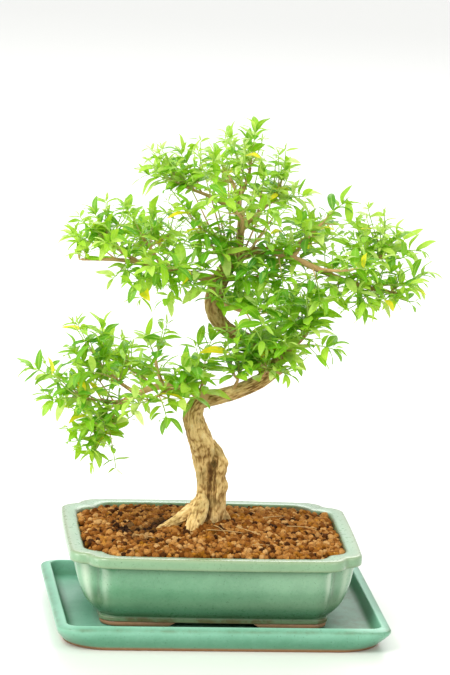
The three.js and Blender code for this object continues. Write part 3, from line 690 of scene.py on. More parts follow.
# Dry straws: thin stalks along shallow bows over the grit, by their two ends and a middle.
straws = {
    "radii": (0.34, 0.2), "points": 9, "sides": 5,
    "bows": [
        [(-8, -22, 69.5), (6, -24, 70), (18, -27, 68.6)],
        [(14, -14, 70.4), (20, -22, 70.2), (29, -28, 68.4)],
        [(-2, -14, 71), (3, -22, 71.5), (5, -31, 68.6)],
        [(52, -6, 69), (62, -8, 69.4), (74, -5, 67.6)],
        [(-60, -30, 67.2), (-52, -36, 68), (-44, -38, 66.6)],
        [(38, 18, 69.2), (47, 22, 69.6), (55, 29, 67.8)],
        [(22, -52, 66.2), (30, -50, 66.9), (40, -53, 65.4)],
    ],
}


# Points on a bow from start to end through a middle: (1-t)^2 start + 2t(1-t) middle + t^2 end.
def bowSpot(bow, t):
    start, middle, end = bow
    return (1 - t) ** 2 * start + 2 * t * (1 - t) * middle + t * t * end


# Straws: thin tubes along their bows, thinner towards the end.
def makeStraws():
    t = np.linspace(0, 1, straws["points"])[:, None]
    radii = np.linspace(*straws["radii"], straws["points"])
    bows = np.array(straws["bows"], float)
    return merged([closedTube(tubeRings(bowSpot(bow, t), radii, straws["sides"])) for bow in bows])


gritTones = [
    (0.0, paint(34, 20, 8)), (0.07, paint(58, 32, 10)), (0.16, paint(106, 58, 10)),
    (0.38, paint(140, 86, 32)), (0.62, paint(164, 110, 50)), (0.86, paint(188, 134, 70)),
    (1.0, paint(204, 160, 100)),
]


# Grit: each grain has its own tone, with ochre ones among them, darker pits, and painted shadow in patches
# under the low left branch.
def gritMaterial():
    material, tree, shader, place = startMaterial("clayGrit")
    ochre, fine = noiseOf(tree, place, 90), noiseOf(tree, place, 900, 3.0, 0.7)
    colour = tinted(tree, ramp(tree, attribute(tree, "grit"), gritTones), [
        (ochre, (0.55, 0.7), (0.0, 0.45), paint(196, 132, 26)),
        (fine, (0.35, 0.7), (0.0, 0.55), paint(76, 38, 6)),
    ])
    feed(tree, shader, {
        # Painted shadow: the darkened patches under the low left branch.
        "Base Color": mixed(tree, attribute(tree, "branchShadow"), colour, paint(40, 22, 8)),
        "Roughness": 0.92, "Specular IOR Level": 0.08, "Normal": bumped(tree, fine, 0.0006),
    })
    return material


# Straw: pale and brown by a fine noise.
def strawMaterial():
    material, tree, shader, place = startMaterial("dryStraw")
    colour = mixed(tree, noiseOf(tree, place, 500), paint(198, 168, 108), paint(150, 112, 62))
    feed(tree, shader, {"Base Color": colour, "Roughness": 0.7})
    return material


grains, grainFaces, tone, branchShadow = makeGrains()
under, stalks = makeBed(), makeStraws()
points, faces = merged([(grains, grainFaces), under, stalks])
# The bed takes the darkest grit tone, 0.04, as painted shade in the gaps between grains.
tones = np.concatenate([tone, np.full(len(under[0]), 0.04), np.ones(len(stalks[0]))])
strawFaces = sum(map(len, stalks[1]))
slots = np.append(np.zeros(sum(map(len, faces)) - strawFaces), np.ones(strawFaces))
numbers = {"grit": tones, "branchShadow": np.append(branchShadow, np.zeros(len(tones) - len(branchShadow)))}
soilLooks = [gritMaterial(), strawMaterial()]
soilPiece = makePiece("clayGritSoil", points, faces, soilLooks, slots, numbers)
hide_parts("soil")
print("soil made")


# Wood

# Routes hold x, y, z and the radius there, lumps x, y, z, their radius and their height. Around is
# the number of points round a limb, step the distance between its rings.
wood = {
    "lowerTrunk": [
        (-6, 10, 46, 12), (-6, 11, 66, 10.4), (-5, 13, 80, 8.4), (-5, 14, 92, 7.4), (-6, 13, 104, 7.6),
        (-8, 11, 116, 8.5), (-11, 10, 128, 8.8), (-15, 9, 139, 8.3), (-17, 8, 148, 7.2),
        (-14, 7, 157, 6.2), (-3, 4.5, 161, 5.6), (12, 0, 167, 5.2), (28, -4, 176, 5.2),
        (37, -5, 182.5, 4.8), (45, -6, 187, 3.6),
    ],
    "upperTrunk": [
        (38, -5, 186, 4.2), (41, -4, 194, 4.7), (34, -1, 200, 4.9), (24, 3, 203, 4.9), (12, 7, 207, 5.1),
        (1, 9, 214, 5.6), (-5, 10, 224, 6.4), (-5, 9, 236, 6.6), (0, 6, 251, 6), (8, 3, 266, 4.4),
        (11, 1, 284, 2.3), (9, 0, 302, 1.6), (10, 0, 322, 0.9),
    ],
    "burls": [
        [(-5, 9, 127, 4), (1.5, 8, 117, 5.2), (3, 7.5, 106, 5.4), (2.8, 8.5, 92, 5.3), (3, 11, 76, 5.6),
         (2, 15, 60, 4.6)],
        [(-8, 8, 86, 5), (-12, -1, 77, 5.8), (-16, -9, 70, 5.6), (-18, -15, 64, 4.8), (-19, -18, 57, 3.6)],
        [(-9, 8, 84, 5), (-19, 4, 75, 4.8), (-30, -2, 69.5, 3.9), (-41, -10, 65.5, 3.1),
         (-50, -18, 60, 2.2)],
        [(4, 14, 76, 5), (9, 19, 68, 4.6), (13, 24, 60, 3.6)],
        [(-4, 16, 84, 6), (-6, 30, 73, 5), (-8, 43, 63, 3.4)],
        [(3, 5, 257, 4.6), (9, -1, 263, 4.2), (12, -4, 268, 2.8)],
    ],
    "lumps": [
        (-6, 2, 126, 4.5, 1.8), (0, 3, 122, 3.4, 1.6), (1, 4, 116, 2.6, -2.6), (7.5, 5, 113, 3, 1.6),
        (8, 6, 103, 3.4, -1.4), (8.5, 7, 95, 4, 1.5), (-1.8, 5, 111, 3, -3.2), (-2, 5.4, 105, 3, -2.6),
        (-2.2, 5.6, 99, 3, -2.6), (-2.8, 5.6, 93, 3, -2.6), (-4, 6, 86, 3, -2.4), (-5.4, 5, 79, 3, -2.4),
        (-6.4, 3, 73, 3, -2.4), (4, 2.5, 106, 4, 0.9), (-9, 3, 106, 3.6, 0.9),
        (-14, 2, 128, 6, 0.8), (-21, 8, 147, 6, 1.2), (-11, 5, 100, 4, 1.2), (-13, 6, 90, 5, 0.8),
        (-10, 3, 116, 3.5, -1.6), (1, 3, 88, 4, 1), (0, 5, 74, 4, 1.4), (-17, 7, 136, 4, -1.2),
    ],
    "trunkAround": 84, "burlAround": 56, "branchAround": 22, "twigAround": 14, "twigRows": 3,
    "trunkStep": 0.8, "branchStep": 1.2, "trunkRelief": (1.0, 0.8), "branchRelief": 0.25,
    "collar": 0.5, "collarReach": 2.2,
}
# Ridges: height, how many round the limb, and twist. The others: the size of a cell round the limb
# and along it, and the share of the relief.
barkRelief = {
    "ridges": [(0.06, 3, 0.5), (0.04, 5, -0.8)], "broad": (7, 7, 16), "broadShare": 0.35,
    "cracks": (1.3, 1.3, 7), "crackShare": 0.75, "crackPower": 6, "flakes": (1.1, 1.1, 2.6),
    "flakeLayers": 3, "flakeShare": 0.95, "height": 0.8, "swell": 0.5, "hollowShade": 0.35,
    "lumpsFrom": 0.5, "fullGirth": 6,
}

# Branches and twigs: the tier, the route, and the shoots, each with its place on the route from
# 0 to 1 and the point where its stem ends.
limbs = [
    ("low_left", [(-8, 6, 159, 4), (-22, -3, 169, 3.2), (-36, -8, 172, 2.7), (-50, -10, 171, 2.4),
                  (-61, -10, 166, 2.1), (-72, -8, 160, 1.7), (-90, -4, 160, 1.3)],
     [(1, -136, -4, 182), (0.94, -122, -16, 162), (0.88, -106, 12, 192), (0.76, -98, -28, 144),
      (0.2, -30, -26, 190)]),
    ("low_left", [(-67, -9, 163, 1.7), (-77, -15, 153, 1.3), (-83, -19, 144, 1)], [(1, -90, -18, 126)]),
    ("low_left", [(-60, -10, 166, 1.6), (-72, 0, 172, 1.3), (-84, 6, 182, 1)],
     [(1, -86, 6, 211), (0.55, -102, -22, 184)]),
    ("low_left", [(-49, -9, 171, 1.6), (-57, 12, 175, 1.3), (-66, 30, 180, 1)], [(1, -80, 50, 190)]),
    ("low_left", [(-36, -9, 172, 1.5), (-45, -26, 170, 1.2), (-55, -39, 168, 1)],
     [(1, -70, -58, 172), (0.6, -42, -44, 156)]),
    ("low_left", [(-42, -9, 172, 1.5), (-46, -4, 183, 1.2), (-48, 0, 192, 1)], [(1, -54, -4, 206)]),
    ("high_left", [(-3, 8, 246, 3.4), (-16, 4, 250, 2.9), (-28, 0, 253, 2.5), (-44, -6, 257, 2.1),
                   (-62, -10, 262, 1.7), (-78, -10, 264, 1.4), (-105, -6, 263, 0.9)],
     [(0.84, -110, -10, 281), (0.56, -66, -28, 250), (0.36, -42, -22, 238)]),
    ("high_left", [(-44, -6, 257, 1.6), (-52, 2, 268, 1.3), (-60, 8, 279, 1)],
     [(1, -70, 16, 296), (0.6, -54, -12, 298)]),
    ("high_left", [(-62, -10, 262, 1.5), (-76, -6, 270, 1.2), (-86, -2, 278, 1)],
     [(1, -94, 4, 294), (0.4, -88, -34, 280)]),
    ("high_left", [(-28, 0, 253, 1.6), (-36, 22, 262, 1.3), (-46, 40, 268, 1)], [(1, -60, 56, 276)]),
    ("high_left", [(-24, 1, 252, 1.6), (-34, -20, 260, 1.3), (-44, -36, 264, 1)], [(1, -58, -54, 268)]),
    ("right", [(8, 3, 266, 3.4), (27, -6, 272, 2.9), (47, -12, 268, 2.5), (67, -14, 260, 2.2),
               (88, -10, 251, 1.9), (108, -4, 245, 1.6), (127, 2, 240, 1.2)],
     [(0.94, 144, 4, 254), (0.82, 132, -18, 250), (0.66, 98, -30, 240), (0.45, 66, -30, 240),
      (0.25, 40, -26, 247)]),
    ("right", [(47, -12, 268, 1.6), (58, -5, 281, 1.3), (70, 1, 292, 1)],
     [(1, 84, 4, 305), (0.5, 50, -14, 294)]),
    ("right", [(88, -10, 251, 1.6), (103, 1, 261, 1.3), (116, 6, 269, 1)],
     [(1, 140, 8, 271), (0.9, 124, -4, 284), (0.5, 98, 20, 284)]),
    ("right", [(38, -9, 270, 1.6), (52, 14, 272, 1.3), (64, 34, 275, 1)], [(1, 80, 52, 282)]),
    ("right", [(67, -14, 260, 1.5), (76, -31, 263, 1.2), (84, -44, 266, 1)], [(1, 96, -60, 270)]),
    ("crown", [(10, 1, 312, 1.4), (14, 0, 322, 1.2), (16, 0, 332, 0.9)],
     [(1, 18, 0, 357), (0.4, 2, 10, 350)]),
    ("crown", [(9, 0, 297, 1.8), (-8, -4, 308, 1.4), (-26, -5, 315, 1)],
     [(1, -58, -5, 325), (0.8, -34, 4, 339), (0.4, -12, -12, 338)]),
    ("crown", [(11, 1, 286, 1.7), (25, 4, 299, 1.3), (36, 6, 309, 1)],
     [(1, 42, 4, 329), (0.7, 54, -8, 312), (0.4, 24, -14, 330)]),
    ("crown", [(9, 0, 298, 1.6), (8, 21, 311, 1.3), (4, 35, 320, 1)], [(1, -4, 50, 330)]),
    ("crown", [(10, 1, 280, 1.7), (9, -22, 296, 1.3), (4, -36, 304, 1)],
     [(1, -8, -50, 318), (0.7, 26, -46, 306)]),
    ("crown", [(6, 3, 264, 1.6), (-8, -12, 282, 1.3), (-20, -20, 290, 1)], [(1, -30, -26, 304)]),
    ("middle", [(41, -4, 194, 1.8), (52, -12, 204, 1.4), (60, -16, 214, 1)],
     [(1, 70, -12, 226), (0.5, 78, -22, 204)]),
    ("middle", [(-4, 9, 233, 2.2), (10, -8, 229, 1.7), (22, -20, 228, 1.2)],
     [(1, 34, -36, 240), (0.7, 26, -30, 210)]),
    ("middle", [(0, 7, 248, 1.9), (18, 2, 250, 1.4), (32, -2, 254, 1)],
     [(1, 54, -6, 266), (0.5, 30, 16, 238)]),
    ("middle", [(34, -2, 199, 1.6), (44, 16, 206, 1.3), (50, 30, 214, 1)], [(1, 56, 46, 226)]),
    ("middle", [(-14, 7, 157, 1.8), (-13, 1, 170, 1.3), (-13, -5, 180, 1)], [(1, -8, -6, 206)]),
    ("middle", [(28, -4, 177, 1.6), (32, -16, 188, 1.2)], [(1, 44, -26, 186)]),
    ("middle", [(9, 0, 167, 1.4), (12, -10, 178, 1.1)], [(1, 14, -24, 194)]),
]


# Points on a smooth route through all its rows: a centripetal spline, whose knots lie apart by
# the fourth root of the squared distance, and whose places run evenly from row to row.
def routePoints(route, places):
    rows = np.array(route, float)
    rows = np.concatenate([2 * rows[:1] - rows[1:2], rows, 2 * rows[-1:] - rows[-2:-1]])
    spans = len(route) - 1
    spot = np.asarray(places) * spans
    span = np.minimum(np.floor(spot).astype(int), spans - 1)
    w = (spot - span)[:, None]
    p0, p1, p2, p3 = (rows[span + k] for k in range(4))
    gap = np.sqrt(np.linalg.norm(np.diff(rows[:, :3], axis=0), axis=1))
    d0, d1, d2 = (gap[span + k][:, None] for k in range(3))
    t1 = ((p1 - p0) / d0 - (p2 - p0) / (d0 + d1) + (p2 - p1) / d1) * d1
    t2 = ((p2 - p1) / d1 - (p3 - p1) / (d1 + d2) + (p3 - p2) / d2) * d1
    return p1 + t1 * w + (3 * (p2 - p1) - 2 * t1 - t2) * w**2 + (2 * (p1 - p2) + t1 + t2) * w**3


# A barked limb: a tube along its route whose radius swells at its root by the collar, ends in a
# dome, and carries lengthwise ridges, fissures, flakes, and lumps or hollows of height
# h exp(-(d/r)^2). The fissures follow coordinates that are the limb unrolled straight: radius
# times cosine and sine, and the length along it.
def barkLimb(route, step, around, relief, seed, collar=0.0):
    look = barkRelief
    length = np.linalg.norm(np.diff(np.array(route, float)[:, :3], axis=0), axis=1).sum()
    rowCount = max(int(length / step), 6)
    path = routePoints(route, np.linspace(0, 1, rowCount))
    middle, radius = path[:, :3], path[:, 3]
    along = np.append(0, np.cumsum(np.linalg.norm(np.diff(middle, axis=0), axis=1)))
    radius = radius * (1 + collar * np.exp(-along / (wood["collarReach"] * radius[0])))
    left = np.clip((along[-1] - along) / radius[-1], 0, 1)
    radius = radius * np.sqrt(np.clip(1 - (1 - left) ** 2, 0.002, 1))
    angle = 2 * np.pi * np.arange(around) / around
    turn = np.stack([np.cos(angle), np.sin(angle)], -1)
    size = radius.mean()
    unrolled = np.concatenate([
        np.broadcast_to(turn * size, (rowCount, around, 2)),
        np.broadcast_to(along[:, None, None], (rowCount, around, 1)),
    ], -1)
    place = (along / length * (len(route) - 1))[:, None]
    ridge = sum(high * np.sin(count * angle + twist * place) for high, count, twist in look["ridges"])
    broad = softNoise(unrolled / look["broad"], seed)
    cracks = 1 - np.abs(softNoise(unrolled / look["cracks"], seed + 1))
    flakes = layeredNoise(unrolled / look["flakes"], look["flakeLayers"], seed + 2)
    bark = look["broadShare"] * broad + look["flakeShare"] * flakes
    bark = bark - look["crackShare"] * cracks ** look["crackPower"]
    raised = look["height"] * (bark + look["swell"] * broad) * (radius / radius.max())[:, None]
    reach = radius[:, None] * (1 + ridge * relief) + relief * raised
    if relief > look["lumpsFrom"]:
        skin = tubeRings(middle, reach, around)
        for x, y, z, span, height in wood["lumps"]:
            bump = np.exp(-((skin - [x, y, z]) ** 2).sum(-1) / span**2)
            reach = reach + height * bump
            bark = bark + look["hollowShade"] * min(height, 0) * bump
    points, faces = closedTube(tubeRings(middle, reach, around))
    ends = np.array([[0, 0, 0], [0, 0, along[-1]]], float)
    apart = [0, 0, 37.0 * (seed % 17)]  # so that no two limbs have the same grain
    straight = np.concatenate([unrolled.reshape(-1, 3), ends]) + apart
    bark = np.append(bark.ravel(), bark[[0, -1]].mean(1))
    return points, faces, straight, bark, np.full(len(points), min(size / look["fullGirth"], 1))


# The tree: two lengths of trunk, the burls and roots that swell out of it, and the limbs.
def makeWood():
    (low, high), relief, collar = wood["trunkRelief"], wood["branchRelief"], wood["collar"]
    trunk = wood["trunkStep"], wood["trunkAround"]
    made = [
        barkLimb(wood["lowerTrunk"], *trunk, low, 1),
        barkLimb(wood["upperTrunk"], *trunk, high, 2),
    ]
    for seed, route in enumerate(wood["burls"], 3):
        made.append(barkLimb(route, wood["trunkStep"], wood["burlAround"], high, seed))
    for seed, (_, route, _) in enumerate(limbs, 20):
        around = wood["branchAround"] if len(route) > wood["twigRows"] else wood["twigAround"]
        made.append(barkLimb(route, wood["branchStep"], around, relief, seed, collar))
    points, faces = merged([limb[:2] for limb in made])
    straight, bark, girth = (np.concatenate([limb[k] for limb in made]) for k in (2, 3, 4))
    return points, faces, {"straight": straight / 1000, "bark": bark, "girth": girth}


barkTonesAndLight = [
    (0.0, paint(112, 80, 38)), (0.2, paint(168, 132, 74)), (0.42, paint(212, 178, 114)),
    (0.7, paint(228, 198, 134)), (1.0, paint(240, 218, 162)),
]


# Bark: pale crests and dark fissures, partly painted light: a painted highlight on the crests and painted
# shade in the fissures and hollows, with darker grain, olive patches and a browner upper trunk, and young
# wood where the limb is thin.
def barkMaterial():
    material, tree, shader, place = startMaterial("treeBark")
    straight = attribute(tree, "straight", "Vector")
    stretched = addNode(tree, "Mapping", {"Vector": straight, "Scale": (1.0, 1.0, 0.3)}).outputs[0]
    grain = noiseOf(tree, stretched, 1000, 5.0, 0.7)
    patches = noiseOf(tree, place, 70, 3.0, 0.6)
    colour = ramp(tree, ranged(tree, attribute(tree, "bark"), (-1.2, 1.1)), barkTonesAndLight)
    colour = tinted(tree, colour, [
        (grain, (0.5, 0.66), (0.0, 0.32), paint(150, 114, 56)),
        (patches, (0.48, 0.62), (0.0, 0.4), paint(156, 138, 82)),
        (coordinate(tree, place, 2), (0.188, 0.215), (0.0, 0.5), paint(136, 106, 66)),
    ])
    young = mixed(tree, grain, paint(214, 178, 122), paint(168, 128, 80))
    colour = mixed(tree, ranged(tree, attribute(tree, "girth"), (0.25, 0.7)), young, colour)
    feed(tree, shader, {
        "Base Color": colour, "Roughness": 0.85, "Specular IOR Level": 0.3,
        "Normal": bumped(tree, grain, 0.0009),
    })
    return material


points, faces, numbers = makeWood()
woodPiece = makePiece("barkedTree", points, faces, [barkMaterial()], numbers=numbers)
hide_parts("trunk")
print("tree made,", sum(map(len, faces)), "faces")


# Leafy shoots

leaf = {
    "length": 16.5, "width": 6, "size": (0.85, 1.15), "droop": (0.3, 0.9), "twist": (-26, 26),
    "root": 0.3, "arch": 0.8, "rows": 9, "columns": 5, "widest": 0.92, "fullness": 0.74,
    "stalk": 0.3, "fold": 0.15, "foldSpread": (0.1, 1.9), "wave": 0.05, "waves": 9, "curl": 0.1,
    "toneSpread": 0.42, "yellow": 1.3, "yellowShare": 0.022, "yellowFrom": 0.5,
    "toneBand": 0.75, "veins": 9, "through": 0.45, "sunlit": 0.6,
}
# Ages are those of a pair's leaves, of the tuft's and of the side shoot's.
shoot = {
    "bow": 0.12, "long": 24, "side": (10, 16), "spin": (-25, 25), "below": 0.8, "above": 0.7,
    "tuft": 3, "setBack": 1, "tuftSize": 0.9, "sideBase": 0.7, "ages": (0.7, 0.4, 0.5),
    "tone": (0.15, 0.65), "base": 0.62, "tip": 0.34, "stations": 10, "around": 6,
    "woodyTo": 0.72, "woodyFade": 14,
}
# The added leaves: how far from the tip they reach and their step, how they droop, twist and keep
# their rise, and their size. Taper and ages run from the stem's root to its tip. Tip and bud are
# the size, age and slimness of the two last pairs.
fresh = {
    "reach": 40, "step": 8.2, "from": 0.12, "place": (0.35, 0.3), "clear": 0.08, "spin": 20,
    "habit": ((0.1, 0.7), (-38, 38)), "rise": 0.45, "budRise": 0.9, "size": 0.95,
    "sizes": (0.8, 1.28), "taper": (1.05, 0.85), "ages": (1.0, 0.5),
    "tip": (0.72, 0.25, 0.62), "bud": (0.4, 0.0, 0.55),
}
# Shares of the stem's own direction, of one square to it, and of straight up.
lean = {
    "pair": (0.5, 0.85, 0.12), "tuft": (0.8, 0.6, 0.05), "side": (0.6, 0.75, 0.2),
    "flat": (0.22, 0.95, 0.1), "bud": (1.0, 0.4, 0.2),
}


# A direction that leans out from ahead: its shares of ahead, of the level or raised direction at
# the angle given, and of straight up.
def leaning(ahead, degrees, shares):
    level = np.cross([0.0, 0.0, 1.0], ahead)
    level = unit(level) if np.linalg.norm(level) > 0 else np.array([1.0, 0, 0])
    raised = np.cross(ahead, level)
    angle = math.radians(degrees)
    out = level * math.cos(angle) + raised * math.sin(angle)
    return unit(shares[0] * ahead + shares[1] * out + np.array([0, 0, shares[2]]))


# A vector turned about an axis: v cos a + (axis x v) sin a for a vector square to the axis.
def turned(vector, axis, degrees):
    angle = math.radians(degrees)
    return vector * math.cos(angle) + np.cross(axis, vector) * math.sin(angle)


# One leaf's numbers: base, direction, facing, length, width, droop, age from 0, young, to 1 and
# its shoot's tone. Its habit is the ranges of its droop and twist, and its rise the share of the
# upward part of its direction that it keeps.
def leafAt(base, along, size, draw, age, tone, habit, slim=1.0, rise=1.0):
    droop, twist = habit
    along = unit(along * [1, 1, rise])
    up = unit(np.array([0.0, 0.0, 1.0]) - along * along[2])
    up = turned(up, along, between(*twist, draw()))
    length = leaf["length"] * size * between(*leaf["size"], draw())
    width = leaf["width"] * size * slim * between(*leaf["size"], draw())
    shape = length, width, between(*droop, draw())
    return (*(base + along * leaf["root"]), *along, *up, *shape, age, tone)


# Leaves round a stem at even turns.
def whorl(count, base, ahead, turn, shares, *details):
    turns = [turn + 360 * k / count for k in range(count)]
    return [leafAt(base, leaning(ahead, t, shares), *details) for t in turns]


# The direction along a bow, whose points are those of bowSpot.
def bowHeading(bow, t):
    start, middle, end = bow
    return unit((1 - t) * (middle - start) + t * (end - middle))


# A stem's path, its radii, and how woody it is: green towards its tip.
def stemPath(bow, base):
    t = np.linspace(0, 1, shoot["stations"])
    length = np.linalg.norm(bow[2] - bow[0])
    woody = np.clip((shoot["woodyTo"] - t) * length / shoot["woodyFade"], 0, 1)
    return bowSpot(bow, t[:, None]), np.linspace(base, shoot["tip"], shoot["stations"]), woody


# The shoot of the solids: a stem along a bow, crossed pairs of leaves, a tuft at the tip, and on
# a long one a side shoot.
def growSolidShoot(start, end, seed, tone):
    draw = drawsFrom(seed)
    habit, tuftLeaf = (leaf["droop"], leaf["twist"]), (lean["tuft"], shoot["tuftSize"], draw)
    pairAge, tuftAge, sideAge = shoot["ages"]
    reach = np.linalg.norm(end - start)
    lift = np.array([draw() - 0.5, draw() - 0.5, 1.0])
    bow = (start, (start + end) / 2 + lift * shoot["bow"] * reach, end)
    pairs = 2 if reach > shoot["long"] else 1
    steps = pairs - 1 + shoot["below"] + shoot["above"]
    shares = [(pair + shoot["below"]) / steps for pair in range(pairs)]
    leaves = []
    for pair, share in enumerate(shares):
        turn = 90 * pair + between(*shoot["spin"], draw())
        spot, ahead = bowSpot(bow, share), bowHeading(bow, share)
        leaves += whorl(2, spot, ahead, turn, lean["pair"], 1, draw, pairAge, tone, habit)
    ahead = bowHeading(bow, 1)
    top = end - ahead * shoot["setBack"]
    leaves += whorl(shoot["tuft"], top, ahead, 360 * draw(), *tuftLeaf, tuftAge, tone, habit)
    stems = [stemPath(bow, shoot["base"])]
    if pairs == 2:
        sideways = leaning(bowHeading(bow, 0.5), 360 * draw(), lean["side"])
        sideReach = between(*shoot["side"], draw())
        root = bowSpot(bow, shares[0])
        sideEnd = root + sideways * sideReach
        sideTop = root + sideways * (sideReach - shoot["setBack"])
        leaves += whorl(2, sideTop, sideways, 360 * draw(), *tuftLeaf, sideAge, tone, habit)
        sideBow = (root, (root + sideEnd) / 2, sideEnd)
        stems.append(stemPath(sideBow, shoot["base"] * shoot["sideBase"]))
    return stems, leaves, bow, shares


# More leaves on a bow: crossed pairs at even steps over its outer part, smaller towards the tip,
# where two young pairs stand closer to the stem. None stands where a place is taken.
def growPairs(bow, seed, size, tone, taken=(), rise=fresh["rise"]):
    draw = drawsFrom(seed)
    reach = np.linalg.norm(bow[2] - bow[0])
    first = max(fresh["from"], 1 - fresh["reach"] / reach)
    count = max(int((1 - first) * reach / fresh["step"]), 2)
    turn = 360 * draw()
    (least, spread), habit, leaves = fresh["place"], fresh["habit"], []
    for k in range(count):
        share = first + (1 - first) * (k + least + spread * draw()) / count
        if min([abs(share - s) for s in taken], default=1) < fresh["clear"]:
            continue
        grown = size * between(*fresh["sizes"], draw()) * between(*fresh["taper"], share)
        spot, ahead = bowSpot(bow, share), bowHeading(bow, share)
        turn += 90 + between(-fresh["spin"], fresh["spin"], draw())
        details = lean["flat"], grown, draw, between(*fresh["ages"], share), tone, habit, 1.0, rise
        leaves += whorl(2, spot, ahead, turn, *details)
    end, ahead = bow[2], bowHeading(bow, 1)
    tipSize, tipAge, tipSlim = fresh["tip"]
    details = lean["pair"], size * tipSize, draw, tipAge, tone, habit, tipSlim, rise
    leaves += whorl(2, end, ahead, turn + 90, *details)
    budSize, budAge, budSlim = fresh["bud"]
    details = lean["bud"], size * budSize, draw, budAge, tone, habit, budSlim, fresh["budRise"]
    leaves += whorl(2, end + ahead, ahead, turn, *details)
    return leaves


# Leaf blades, all at once. Along a leaf, t from 0 to 1, the midrib rises by droop L t (arch - t);
# across it, q from -1 to 1, the half width is W/2 sin(pi t^widest)^fullness on a narrow stalk, and
# the halves fold up by fold |q| and wave a little.
def leafBlades(table, seed):
    rng = np.random.default_rng(seed)
    each = (len(table), 1, 1)
    base, along, up = (table[:, None, None, k:k + 3] for k in (0, 3, 6))
    length, width, droop, age, tone = (table[:, k][:, None, None] for k in range(9, 14))
    t = np.linspace(0, 1, leaf["rows"])[None, :, None]
    q = np.linspace(-1, 1, leaf["columns"])[None, None, :]
    half = width / 2 * np.sin(np.pi * t ** leaf["widest"]) ** leaf["fullness"]
    half = half + leaf["stalk"] * (1 - t) ** 4
    phase = 6.3 * rng.random(each)
    wave = leaf["wave"] * width * np.sin(leaf["waves"] * t + phase) * np.abs(q)
    fold = leaf["fold"] * rng.uniform(*leaf["foldSpread"], each)
    curl = rng.uniform(-leaf["curl"], leaf["curl"], each) * length * t**2
    lift = droop * length * t * (leaf["arch"] - t) + fold * half * np.abs(q) + wave
    side = np.cross(along, up)
    points = base + along * (t * length)[..., None] + side * (q * half + curl)[..., None]
    points = points + up * lift[..., None]
    grid = gridFaces(leaf["rows"], leaf["columns"], False)
    faces = grid[None] + leaf["rows"] * leaf["columns"] * np.arange(len(table))[:, None, None]
    tone = np.clip(tone + rng.uniform(-leaf["toneSpread"], leaf["toneSpread"], each), 0, 1)
    isYellow = (rng.random(each) < leaf["yellowShare"]) & (age > leaf["yellowFrom"])
    tone = np.where(isYellow, leaf["yellow"], tone)
    q, t, tone, age = (part.ravel() for part in np.broadcast_arrays(q, t, tone, age))
    return points.reshape(-1, 3), faces.reshape(-1, 4), np.stack([q, t, tone], -1), age


# A leaf's tones: dark, mid and light greens, partly painted light: the dark end stands for shaded leaves
# and the pale end for a painted highlight on sunlit ones; and the yellow of an old leaf.
leafTonesAndLight = [
    (0.0, paint(56, 140, 30)), (0.15, paint(92, 168, 24)), (0.36, paint(154, 205, 46)),
    (0.55, paint(196, 222, 98)), (0.75, paint(228, 240, 166)), (0.95, paint(255, 226, 34)),
]


# Leaf: paler when young, mottled, with a pale midrib and slanting veins, and lit through.
def leafMaterial():
    material, tree, shader, place = startMaterial("leafGreen")
    spot = attribute(tree, "leafPlace", "Vector")
    across = reckoned(tree, "ABSOLUTE", coordinate(tree, spot, 0))
    along, tone = coordinate(tree, spot, 1), coordinate(tree, spot, 2)
    slant = reckoned(tree, "SUBTRACT", reckoned(tree, "MULTIPLY", along, leaf["veins"]), across)
    vein = reckoned(tree, "PINGPONG", slant, 0.5)
    # Painted light: the ramp's dark end stands for shaded leaves and its pale end for sunlit highlights.
    green = ramp(tree, reckoned(tree, "MULTIPLY", tone, leaf["toneBand"]), leafTonesAndLight)
    green = tinted(tree, green, [
        (attribute(tree, "leafAge"), (0.5, 0.05), (0.0, 0.75), paint(200, 226, 120)),
        (noiseOf(tree, place, 260, 3.0), (0.45, 0.7), (0.0, 0.25), paint(58, 134, 16)),
        (across, (0.02, 0.22), (0.5, 0.0), paint(180, 214, 100)),
        (vein, (0.0, 0.12), (0.2, 0.0), paint(160, 200, 80)),
    ])
    feed(tree, shader, {
        "Base Color": green, "Roughness": 0.38, "Specular IOR Level": 0.5,
        "Normal": bumped(tree, vein, 0.0003),
    })
    sunlit = mixed(tree, leaf["sunlit"], green, paint(200, 240, 30))
    through = addNode(tree, "BsdfTranslucent", {"Color": sunlit}).outputs[0]
    blend = addNode(tree, "MixShader", {0: leaf["through"], 1: shader.outputs[0], 2: through})
    feed(tree, tree.nodes["Material Output"], {"Surface": blend.outputs[0]})
    return material


# Stem: green, and brown where it is woody.
def stemMaterial():
    material, tree, shader, place = startMaterial("greenStem")
    fine = noiseOf(tree, place, 300)
    green = mixed(tree, fine, paint(170, 200, 90), paint(128, 172, 56))
    brown = mixed(tree, fine, paint(216, 184, 128), paint(180, 144, 90))
    colour = mixed(tree, attribute(tree, "leafAge"), green, brown)
    feed(tree, shader, {"Base Color": colour, "Roughness": 0.55})
    return material


